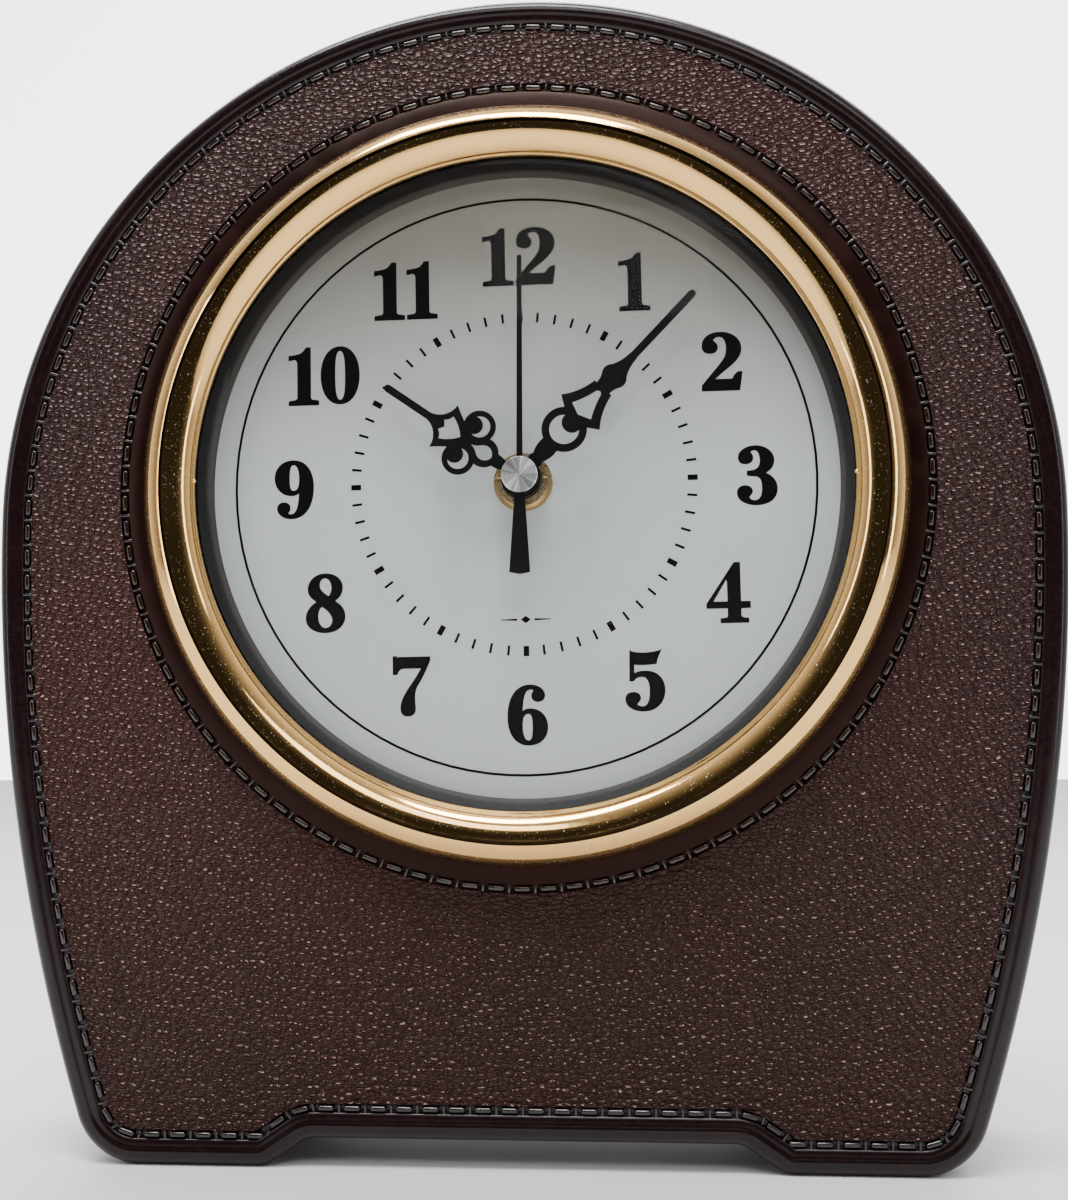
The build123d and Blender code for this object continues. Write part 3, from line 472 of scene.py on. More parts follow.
def cell_finish():
    """Printed sleeve: a dark body with a copper-coloured band at one end and bare steel tips."""
    low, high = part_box("battery_cell")
    sleeve = (0.018, 0.020, 0.024)
    copper = (0.50, 0.24, 0.09)
    steel = (0.62, 0.62, 0.63)
    finish = Finish("cell_sleeve", Roughness=0.28, Coat_Weight=0.4)
    along = finish.part(finish.place(), "X")
    band = finish.ramp(along, high.x - 15.1 * MM, high.x - 14.9 * MM)
    tips = finish.ramp(along, high.x - 2.2 * MM, high.x - 2.1 * MM)
    bare = tips + finish.ramp(along, low.x + 0.8 * MM, low.x + 0.9 * MM, 1.0, 0.0)
    tone = finish.blend(band, sleeve, copper)
    finish.set("Base Color", finish.blend(bare, tone, steel))
    finish.set("Metallic", finish.ramp(band + bare, 0.0, 1.0, 0.25, 1.0))
    return finish.material


# Each plastic or metal part: the name of its finish, its colour and its roughness.
PLASTIC_PARTS = {
    "rear_cover": ("cover_plastic", (0.014, 0.0095, 0.009), 0.46),
    "movement_front_housing": ("housing_front", (0.010, 0.010, 0.011), 0.42),
    "movement_rear_housing": ("housing_rear", (0.010, 0.010, 0.011), 0.42),
    "train_plate": ("train_plate_plastic", (0.62, 0.62, 0.58), 0.4),
    "rubber_gasket": ("gasket_rubber", (0.012, 0.012, 0.012), 0.7),
    "timing_chip": ("potting", (0.008, 0.008, 0.008), 0.3),
    "coil_bobbin": ("bobbin_plastic", (0.60, 0.60, 0.55), 0.42),
    "rotor_pinion": ("rotor_plastic", (0.70, 0.70, 0.66), 0.4),
    "intermediate_wheel": ("intermediate_plastic", (0.72, 0.70, 0.60), 0.38),
    "second_wheel": ("second_plastic", (0.70, 0.70, 0.66), 0.38),
    "third_wheel": ("third_plastic", (0.66, 0.66, 0.62), 0.38),
    "centre_wheel": ("centre_plastic", (0.70, 0.69, 0.62), 0.38),
    "motion_wheel": ("motion_plastic", (0.68, 0.68, 0.64), 0.38),
    "hour_wheel": ("hour_plastic", (0.70, 0.70, 0.66), 0.38),
    "setting_arbor": ("setting_plastic", (0.66, 0.66, 0.62), 0.38),
    "setting_knob": ("knob_plastic", (0.013, 0.013, 0.014), 0.38),
}

METAL_PARTS = {
    "rear_cover_screws": ("zinc_screws", (0.52, 0.52, 0.54), 0.3),
    "bezel_screws": ("zinc_bezel_screws", (0.52, 0.52, 0.54), 0.3),
    "dial_screws": ("zinc_dial_screws", (0.52, 0.52, 0.54), 0.3),
    "brass_washer": ("washer_brass", (0.72, 0.55, 0.30), 0.26),
    "brass_nut": ("nut_brass", (0.76, 0.58, 0.32), 0.24),
    "quartz_crystal": ("crystal_can", (0.72, 0.72, 0.73), 0.16),
    "coil_core": ("core_iron", (0.42, 0.42, 0.43), 0.36),
    "stator_plate": ("stator_iron", (0.46, 0.46, 0.47), 0.34),
    "battery_contact_positive": ("contact_positive", (0.66, 0.66, 0.66), 0.22),
    "battery_contact_negative": ("contact_negative", (0.66, 0.66, 0.66), 0.22),
    "rotor_magnet": ("sintered_magnet", (0.16, 0.16, 0.17), 0.45),
    "second_arbor": ("arbor_steel", (0.60, 0.60, 0.61), 0.2),
    "minute_arbor": ("minute_brass", (0.74, 0.56, 0.30), 0.24),
}

OTHER_PARTS = {
    "dial_plate": dial_finish,
    "circuit_board": board_finish,
    "coil_winding": winding_finish,
    "battery_cell": cell_finish,
    "hour_hand": hand_finish,
    "minute_hand": hand_finish,
    "second_hand": hand_finish,
    "second_hand_cap": spun_finish,
}


# ---- Modelling
def start(bm, *point):
    return bm.verts.new(point)


def join(bm, first, second):
    bm.edges.new((first, second))


def sweep(bm, vertex, centre, axis, angle, steps, shift=(0, 0, 0)):
    """Draws an arc from a vertex round a centre and returns its last vertex."""
    result = bmesh.ops.spin(
        bm, geom=[vertex], cent=centre, axis=axis, dvec=shift, angle=angle, steps=steps
    )
    last = [item for item in result["geom_last"] if isinstance(item, bmesh.types.BMVert)]
    return last[0]


def run(bm, vertex, end, steps):
    """Draws a straight run of equal edges from a vertex to a point and returns its last vertex."""
    shift = (Vector(end) - vertex.co) / steps
    return sweep(bm, vertex, (0, 0, 0), BACK, 0.0, steps, shift)


def outline(points):
    """A bmesh with straight edges through points, each given as (radius, y)."""
    bm = bmesh.new()
    verts = [start(bm, radius, y, DIAL_Z) for radius, y in points]
    for first, second in zip(verts, verts[1:]):
        join(bm, first, second)
    return bm


def lathe(bm, steps):
    """Turns everything in a bmesh a full turn round the dial axis."""
    geom = bm.verts[:] + bm.edges[:]
    bmesh.ops.spin(
        bm, geom=geom, cent=AXIS, axis=BACK, dvec=(0, 0, 0), angle=2 * pi, steps=steps, use_merge=True
    )
    bmesh.ops.remove_doubles(bm, verts=bm.verts[:], dist=0.002 * MM)
    bmesh.ops.recalc_face_normals(bm, faces=bm.faces[:])


def curved(bm, first, second, sagitta, steps):
    """An arc in the profile's plane between two vertices, that stands proud by sagitta towards
    the front (positive) or the back."""
    chord = second.co - first.co
    half = chord.length / 2
    radius = (half**2 + sagitta**2) / (2 * abs(sagitta))
    side = Vector((chord.y, -chord.x, 0.0)).normalized()
    if side.y > 0:
        side = -side
    if sagitta < 0:
        side = -side
    centre = (first.co + second.co) / 2 + side * (abs(sagitta) - radius)
    angle = 2 * asin(min(1.0, half / radius))
    turn = (first.co - centre).cross(second.co - centre)
    last = sweep(bm, first, centre, (0, 0, 1), angle if turn.z > 0 else -angle, steps)
    bmesh.ops.weld_verts(bm, targetmap={last: second})


def finish_piece(bm, name, body, finish, sharp):
    """Makes a bmesh a finished piece on a body of the frame, with its edges sharp past an angle."""
    mesh = bpy.data.meshes.new(name)
    bm.to_mesh(mesh)
    bm.free()
    mesh.materials.append(finish)
    mesh.shade_smooth()
    mesh.set_sharp_from_angle(angle=radians(sharp))
    piece = bpy.data.objects.new(name, mesh)
    bpy.context.scene.collection.objects.link(piece)
    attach(piece, body)
    return piece


def face_outwards(bm):
    """Turns an open front skin to face the front, judged by its flattest faces."""
    total = sum((face.normal * face.calc_area() for face in bm.faces), Vector())
    if total.y > 0:
        bmesh.ops.reverse_faces(bm, faces=bm.faces[:])


def bridge(bm, rings):
    """Skins neighbouring rings. No two are quite level, because that keeps their pairing right."""
    for first, second in zip(rings, rings[1:]):
        bmesh.ops.bridge_loops(bm, edges=first + second)
    bmesh.ops.remove_doubles(bm, verts=bm.verts[:], dist=0.001 * MM)
    bmesh.ops.recalc_face_normals(bm, faces=bm.faces[:])


def round_edges(bm, verts, width, segments):
    edges = {edge for vert in verts for edge in vert.link_edges}
    bmesh.ops.bevel(
        bm,
        geom=list(edges),
        offset=width,
        offset_type="OFFSET",
        affect="EDGES",
        segments=segments,
        profile=0.5,
        material=-1,
        clamp_overlap=True,
    )


# ---- Case
def case_ring(bm, inset, y):
    """One closed ring of the case: its outline stepped in by inset, at a level y."""
    sizes = bpy.context.scene.clock_case
    notch = sizes.notch_height
    fillet = sizes.foot_fillet
    flank = sizes.flank_radius
    corner = sizes.corner_radius
    foot_turn = atan2(notch, sizes.heel_reach - sizes.notch_reach)
    flank_x = ARCH_RADIUS - flank
    corner_x = flank_x + sqrt((flank - corner) ** 2 - (ARCH_Z - corner) ** 2)
    flank_turn = atan2(ARCH_Z - corner, corner_x - flank_x)
    slope = tan(foot_turn / 2)
    heel = max(fillet - inset, 0.6 * MM)
    instep = fillet + inset
    heel_x = sizes.heel_reach + slope * (inset + heel)
    notch_x = sizes.notch_reach + slope * (inset - instep)
    before = set(bm.edges)
    for side in (1, -1):
        last = start(bm, 0, y, ARCH_Z + ARCH_RADIUS - inset)
        last = sweep(bm, last, (0, y, ARCH_Z), BACK, side * pi / 2, ARCH_STEPS)
        last = sweep(bm, last, (side * flank_x, y, ARCH_Z), BACK, side * flank_turn, FLANK_STEPS)
        turn = side * (pi / 2 - flank_turn)
        last = sweep(bm, last, (side * corner_x, y, corner), BACK, turn, CORNER_STEPS)
        last = run(bm, last, (side * heel_x, y, inset), SOLE_STEPS)
        last = sweep(bm, last, (last.co.x, y, inset + heel), BACK, side * foot_turn, BEND_STEPS)
        toe = Vector((side * notch_x, y, notch - fillet))
        toe_start = toe + Matrix.Rotation(side * foot_turn, 3, "Y") @ Vector((0, 0, instep))
        last = run(bm, last, toe_start, SLOPE_STEPS)
        last = sweep(bm, last, toe, BACK, -side * foot_turn, BEND_STEPS)
        run(bm, last, (0, y, notch + inset), SILL_STEPS)
    verts = {vert for edge in bm.edges if edge not in before for vert in edge.verts}
    bmesh.ops.remove_doubles(bm, verts=list(verts), dist=0.001 * MM)
    return [edge for edge in bm.edges if edge not in before]


def dial_ring(bm, radius, y):
    """A closed ring round the dial axis."""
    result = bmesh.ops.create_circle(
        bm,
        cap_ends=False,
        radius=radius,
        segments=RING_STEPS,
        matrix=Matrix.Translation((0, y, DIAL_Z)) @ Matrix.Rotation(pi / 2, 4, "X"),
    )
    verts = set(result["verts"])
    return [edge for edge in bm.edges if edge.verts[0] in verts and edge.verts[1] in verts]


def rim_levels(sizes):
    """The rim's section from the side wall in to its smooth band: pairs of inset and level."""
    depth = sizes.round_over
    levels = [(0.0, RIM_Y + 6.0 * MM)]
    for step in range(9):
        angle = pi / 2 * step / 8
        levels.append((depth * (1 - cos(angle)), RIM_Y + depth * (1 - sin(angle))))
    bead = sizes.bead_width
    band = bead + sizes.band_width
    return levels + [
        (bead - 0.35 * MM, RIM_Y + 0.03 * MM),
        (bead - 0.05 * MM, RIM_Y + 0.10 * MM),
        (bead + 0.15 * MM, RIM_Y + 0.19 * MM),
        (bead + 0.35 * MM, RIM_Y + 0.27 * MM),
        (bead + 0.65 * MM, RIM_Y + 0.33 * MM),
        (band - 0.45 * MM, RIM_Y + 0.37 * MM),
        (band - 0.05 * MM, RIM_Y + 0.46 * MM),
    ]


def panel_level():
    """How far forward the leather panel lies."""
    return RIM_Y + bpy.context.scene.clock_case.rim_height


def groove_start(sizes):
    """How far the rim's groove lies in from the outline."""
    return sizes.bead_width + sizes.band_width + sizes.land


def channel_levels(start_inset, sizes):
    """The section of a stitch groove: pairs of inset and level."""
    panel = panel_level()
    floor = panel + sizes.channel_depth
    end = start_inset + sizes.channel_width
    lip = 0.14 * MM
    wall = 0.26 * MM
    foot = 0.42 * MM
    lip_drop = 0.10 * MM
    foot_rise = 0.12 * MM
    return [
        (start_inset, panel),
        (start_inset + lip, panel + lip_drop),
        (start_inset + wall, floor - foot_rise),
        (start_inset + foot, floor),
        (end - foot, floor - 0.02 * MM),
        (end - wall, floor - foot_rise),
        (end - lip, panel + lip_drop),
        (end, panel),
    ]


def build_case():
    """The shell in four pieces of one moulding: smooth rim, leather panel, collar and walls."""
    sizes = bpy.context.scene.clock_case
    opening = bpy.context.scene.clock_bezel.opening_radius
    panel = panel_level()
    levels = rim_levels(sizes)
    leather = leather_finish()
    rim = rim_finish()

    # Rim, from the bead's outer edge in to the inner edge of its groove.
    bm = bmesh.new()
    start_inset = groove_start(sizes)
    section = levels + channel_levels(start_inset, sizes)
    bridge(bm, [case_ring(bm, inset, y) for inset, y in section])
    face_outwards(bm)
    rim_piece = finish_piece(bm, "case_rim", "case", rim, 50.0)

    # Leather panel, between the two grooves.
    bm = bmesh.new()
    groove_edge = BEZEL_OUTER + sizes.collar_width + sizes.channel_width
    outer = case_ring(bm, start_inset + sizes.channel_width, panel)
    inner = dial_ring(bm, groove_edge, panel + 0.02 * MM)
    bmesh.ops.bridge_loops(bm, edges=outer + inner)
    face_outwards(bm)
    panel_piece = finish_piece(bm, "case_panel", "case", leather, 30.0)

    # Collar: the groove round the bezel, the smooth ring inside it and the hole behind the bezel.
    hole_edge = BEZEL_OUTER + 4 * MM
    section = [(groove_edge - inset, y) for inset, y in channel_levels(0, sizes)]
    section += [(BEZEL_OUTER - 0.5 * MM, panel), (opening, panel)]
    section += [(opening, DIAL_Y), (hole_edge, DIAL_Y)]
    bm = outline(section)
    lathe(bm, RING_STEPS)
    face_outwards(bm)
    collar_piece = finish_piece(bm, "case_collar", "case", collar_finish(), 40.0)

    # Side wall, rear edge, inner wall and the back of the front panel.
    bm = bmesh.new()
    edge_round = 0.8 * MM
    inner_round = 0.3 * MM
    section = [
        (0, levels[0][1]),
        (0, REAR_Y - edge_round),
        (0.25 * MM, REAR_Y - 0.25 * MM),
        (edge_round, REAR_Y),
        (sizes.wall - inner_round, REAR_Y - 0.03 * MM),
        (sizes.wall, REAR_Y - inner_round),
        (sizes.wall, panel + sizes.wall),
    ]
    rings = [case_ring(bm, inset, y) for inset, y in section]
    rings.append(dial_ring(bm, hole_edge, panel + sizes.wall + 0.03 * MM))
    rings.append(dial_ring(bm, hole_edge, DIAL_Y))
    bridge(bm, rings)
    shell_piece = finish_piece(bm, "case_shell", "case", leather, 40.0)
    for piece in (rim_piece, panel_piece, collar_piece, shell_piece):
        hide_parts("front_case")


def walk(edges):
    """The places of a closed ring's vertices, in order."""
    links = {}
    for edge in edges:
        for vert in edge.verts:
            links.setdefault(vert, []).append(edge.other_vert(vert))
    first = max(links, key=lambda vert: (vert.co.z, -abs(vert.co.x)))
    path = [first, links[first][0]]
    while True:
        options = [vert for vert in links[path[-1]] if vert is not path[-2]]
        if options[0] is first:
            break
        path.append(options[0])
    return [vert.co.copy() for vert in path]


def spaced(points, pitch):
    """Points and directions at equal steps, near to a pitch, along a closed path."""
    closed = points + [points[0]]
    lengths = [(b - a).length for a, b in zip(closed, closed[1:])]
    total = sum(lengths)
    count = round(total / pitch)
    places = []
    index = 0
    passed = 0.0
    for number in range(count):
        target = (number + 0.5) * total / count
        while passed + lengths[index] < target:
            passed += lengths[index]
            index += 1
        share = (target - passed) / lengths[index]
        point = closed[index].lerp(closed[index + 1], share)
        places.append((point, (closed[index + 1] - closed[index]).normalized()))
    return places


def block(bm, point, level, turn, size):
    """Adds a turned block and returns its vertices."""
    place = Matrix.Translation((point.x, level, point.z)) @ turn @ Matrix.Diagonal((*size, 1))
    return bmesh.ops.create_cube(bm, size=1.0, matrix=place)["verts"]


def stitch_row(name, make_ring, finish):
    """A row of raised stitches along a groove, with a web between each two."""
    sizes = bpy.context.scene.clock_case
    depth = sizes.channel_depth
    floor = panel_level() + depth
    stitch = (sizes.stitch_length, depth * 1.3, sizes.stitch_width)
    web = (sizes.web_width, depth, sizes.channel_width + 0.05 * MM)
    guide = bmesh.new()
    path = walk(make_ring(guide))
    guide.free()
    bm = bmesh.new()
    stitches = []
    webs = []
    for point, direction in spaced(path, sizes.stitch_pitch):
        turn = Matrix.Rotation(-atan2(direction.z, direction.x), 4, "Y")
        stitches += block(bm, point, floor - depth * 0.60, turn, stitch)
        between = point + direction * sizes.stitch_pitch / 2
        webs += block(bm, between, floor - depth * 0.4, turn, web)
    round_edges(bm, stitches, 0.44 * MM, 4)
    round_edges(bm, webs, 0.18 * MM, 2)
    piece = finish_piece(bm, name, "case", finish, 60.0)
    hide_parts("front_case")


def build_stitches():
    sizes = bpy.context.scene.clock_case
    panel = panel_level()
    finish = stitch_finish()
    inset = groove_start(sizes) + sizes.channel_width / 2
    radius = BEZEL_OUTER + sizes.collar_width + sizes.channel_width / 2
    stitch_row("rim_stitches", lambda guide: case_ring(guide, inset, panel), finish)
    stitch_row("bezel_stitches", lambda guide: dial_ring(guide, radius, panel), finish)


# ---- Bezel, lens and reveal
def build_bezel():
    sizes = bpy.context.scene.clock_bezel
    panel = panel_level()
    inner = sizes.inner_radius
    crown = sizes.crown_radius
    half = sizes.groove_width / 2
    groove_half = 0.4 * half
    crest = BEZEL_LOW.y + 0.05 * MM
    groove = BEZEL_LOW.y + 0.95 * MM
    inner_edge = panel - 2.6 * MM
    chamfer = 0.15 * MM
    lip = inner_edge + 0.8 * MM
    spigot = panel + 2.0 * MM
    bm = bmesh.new()
    foot = start(bm, BEZEL_OUTER, panel, DIAL_Z)
    outer_crest = start(bm, crown + half, crest, DIAL_Z)
    groove_out = start(bm, crown + groove_half, groove, DIAL_Z)
    groove_in = start(bm, crown - groove_half, groove, DIAL_Z)
    inner_crest = start(bm, crown - half, crest, DIAL_Z)
    edge = start(bm, inner + chamfer, inner_edge - chamfer, DIAL_Z)
    back = [
        edge,
        start(bm, inner, inner_edge, DIAL_Z),
        start(bm, inner, lip, DIAL_Z),
        start(bm, sizes.seat_radius, lip, DIAL_Z),
        start(bm, sizes.seat_radius, spigot, DIAL_Z),
        start(bm, sizes.spigot_radius, spigot, DIAL_Z),
        start(bm, sizes.spigot_radius, panel, DIAL_Z),
        foot,
    ]
    curved(bm, foot, outer_crest, 1.25 * MM, 18)
    join(bm, outer_crest, groove_out)
    join(bm, groove_out, groove_in)
    join(bm, groove_in, inner_crest)
    curved(bm, inner_crest, edge, 0.85 * MM, 16)
    for first, second in zip(back, back[1:]):
        join(bm, first, second)
    lathe(bm, 320)
    # Painted shade: the faces inside the crown's groove get a dark bronze finish in place of the shade
    # that falls in it.
    for face in bm.faces:
        middle = face.calc_center_median() - AXIS
        in_groove = abs(hypot(middle.x, middle.z) - crown) < 0.9 * half
        if in_groove and middle.y < groove + 0.25 * MM:
            face.material_index = 1
    pips(bm, inner, inner_edge)
    piece = finish_piece(bm, "gilt_bezel", "case", gilt_finish(), 38.0)
    # Dark bronze finish of the painted shade in the groove.
    piece.data.materials.append(metal_finish("gilt_groove_painted_shade", (0.060, 0.034, 0.016), 0.42))
    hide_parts("bezel_ring")


def pips(bm, radius, level):
    """Two small moulding marks on the inner edge, level with the axis."""
    for side in (-1, 1):
        spot = Matrix.Translation((side * radius, level, DIAL_Z))
        bmesh.ops.create_uvsphere(bm, u_segments=12, v_segments=8, radius=0.45 * MM, matrix=spot)


def build_lens():
    dome = bpy.context.scene.clock_bezel.lens_radius
    front = panel_level() - 1.8 * MM
    back = panel_level() - 0.4 * MM
    rise = front - LENS_LOW.y
    bm = bmesh.new()
    crown = start(bm, 0, LENS_LOW.y, DIAL_Z)
    edge = start(bm, dome, front, DIAL_Z)
    ball = (dome**2 + rise**2) / (2 * rise)
    centre = Vector((0, LENS_LOW.y + ball, DIAL_Z))
    last = sweep(bm, crown, centre, (0, 0, 1), asin(dome / ball), 32)
    bmesh.ops.weld_verts(bm, targetmap={last: edge})
    flange = [
        start(bm, LENS_HIGH.x, front, DIAL_Z),
        start(bm, LENS_HIGH.x, back, DIAL_Z),
        start(bm, dome - MM, back, DIAL_Z),
    ]
    for first, second in zip([edge] + flange, flange):
        join(bm, first, second)
    lathe(bm, 192)
    piece = finish_piece(bm, "clear_lens", "case", lens_finish(), 40.0)
    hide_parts("lens")


def build_reveal():
    inner = bpy.context.scene.clock_bezel.reveal_radius
    lip = (REVEAL_HIGH.x - 1.6 * MM, REVEAL_LOW.y)
    bm = outline(
        [
            lip,
            (REVEAL_HIGH.x, REVEAL_LOW.y),
            (REVEAL_HIGH.x, REVEAL_HIGH.y),
            (inner, REVEAL_HIGH.y),
            (inner + 0.05 * MM, REVEAL_HIGH.y - 0.15 * MM),
            lip,
        ]
    )
    lathe(bm, 256)
    piece = finish_piece(bm, "dark_reveal", "case", reveal_finish(), 40.0)
    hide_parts("reveal_ring")


# ---- Dial printing
def printed(name, curves, ink):
    """Flat printing made from filled curves drawn in the dial's plane, turned with the print."""
    sizes = bpy.context.scene.clock_dial
    mesh = bpy.data.meshes.new_from_object(curves)
    bpy.data.objects.remove(curves)
    bm = bmesh.new()
    bm.from_mesh(mesh)
    bpy.data.meshes.remove(mesh)
    turn = Matrix.Rotation(-sizes.print_turn, 4, "Y")
    place = Matrix.Translation((0, DIAL_Y - sizes.ink_height, DIAL_Z)) @ turn
    bmesh.ops.transform(bm, matrix=place @ Matrix.Rotation(pi / 2, 4, "X"), verts=bm.verts[:])
    bmesh.ops.remove_doubles(bm, verts=bm.verts[:], dist=0.0005 * MM)
    face_outwards(bm)
    finish_piece(bm, name, "case", ink, 30.0)


def filled_curve(name, resolution=12, weight=0.0):
    data = bpy.data.curves.new(name, "CURVE")
    data.dimensions = "2D"
    data.fill_mode = "BOTH"
    data.resolution_u = resolution
    data.offset = weight
    piece = bpy.data.objects.new(name, data)
    bpy.context.scene.collection.objects.link(piece)
    return piece, data


def add_loop(data, points, place=IN_PLACE):
    """One closed Bezier outline: (x, y) is a corner, and (x, y, dx, dy) has handles along
    (dx, dy), or (x, y, dx, dy, ex, ey) has a handle behind (dx, dy) and one ahead (ex, ey)."""
    spline = data.splines.new("BEZIER")
    spline.bezier_points.add(len(points) - 1)
    spline.use_cyclic_u = True
    for point, spec in zip(spline.bezier_points, points):
        at = Vector((spec[0], spec[1], 0))
        before = ahead = Vector((0, 0, 0))
        if len(spec) == 4:
            before = Vector((-spec[2], -spec[3], 0))
            ahead = -before
        elif len(spec) == 6:
            before = Vector((spec[2], spec[3], 0))
            ahead = Vector((spec[4], spec[5], 0))
        point.co = place @ at
        point.handle_left = place @ (at + before)
        point.handle_right = place @ (at + ahead)


def circle(radius):
    """A circle's outline, as four smooth Bezier points."""
    handle = 0.5523 * radius
    right = [(radius, 0, 0, handle), (0, radius, -handle, 0)]
    return right + [(-radius, 0, 0, -handle), (0, -radius, handle, 0)]


def build_printing():
    sizes = bpy.context.scene.clock_dial
    ink = ink_finish()
    curves, data = filled_curve("dial_circle", 24)
    for reach in (0.5, -0.5):
        add_loop(data, circle(sizes.circle_radius + reach * sizes.circle_width))
    printed("dial_circle", curves, ink)

    curves, data = filled_curve("minute_track")
    low = sizes.track_radius - sizes.stroke_length / 2
    high = sizes.track_radius + sizes.stroke_length / 2
    for minute in range(60):
        width = sizes.stroke_width if minute % 5 else sizes.hour_stroke_width
        side = width / 2
        turn = Matrix.Rotation(-radians(6 * minute), 4, "Z")
        add_loop(data, [(-side, low), (side, low), (side, high), (-side, high)], turn)
    printed("minute_track", curves, ink)

    spread = 1.15
    scale = Matrix.Diagonal((spread * sizes.numeral_height, sizes.numeral_height, 1.0, 1.0))
    for hour in range(1, 13):
        curves, data = filled_curve("numeral_%d" % hour, weight=sizes.numeral_weight)
        angle = radians(30 * hour)
        centre = Vector((sin(angle), cos(angle), 0)) * sizes.numeral_radius
        figures = [FIGURES[figure] for figure in str(hour)]
        left = -sum(figure["width"] for figure in figures) / 2
        for figure in figures:
            middle = left + figure["width"] / 2
            place = Matrix.Translation(centre) @ scale @ Matrix.Translation((middle, -0.5, 0))
            for loop in figure["loops"]:
                add_loop(data, loop, place)
            left += figure["width"]
        printed("numeral_%d" % hour, curves, ink)

    # A lozenge between two bars that taper outwards.
    curves, data = filled_curve("dial_ornament")
    place = Matrix.Translation((0, -sizes.ornament_drop, 0)) @ Matrix.Scale(MM, 4)
    add_loop(data, [(0, -0.75), (1.0, 0), (0, 0.75), (-1.0, 0)], place)
    for side in (-1, 1):
        near = side * 1.7
        far = side * 4.9
        add_loop(data, [(near, -0.22), (far, -0.08), (far, 0.08), (near, 0.22)], place)
    printed("dial_ornament", curves, ink)


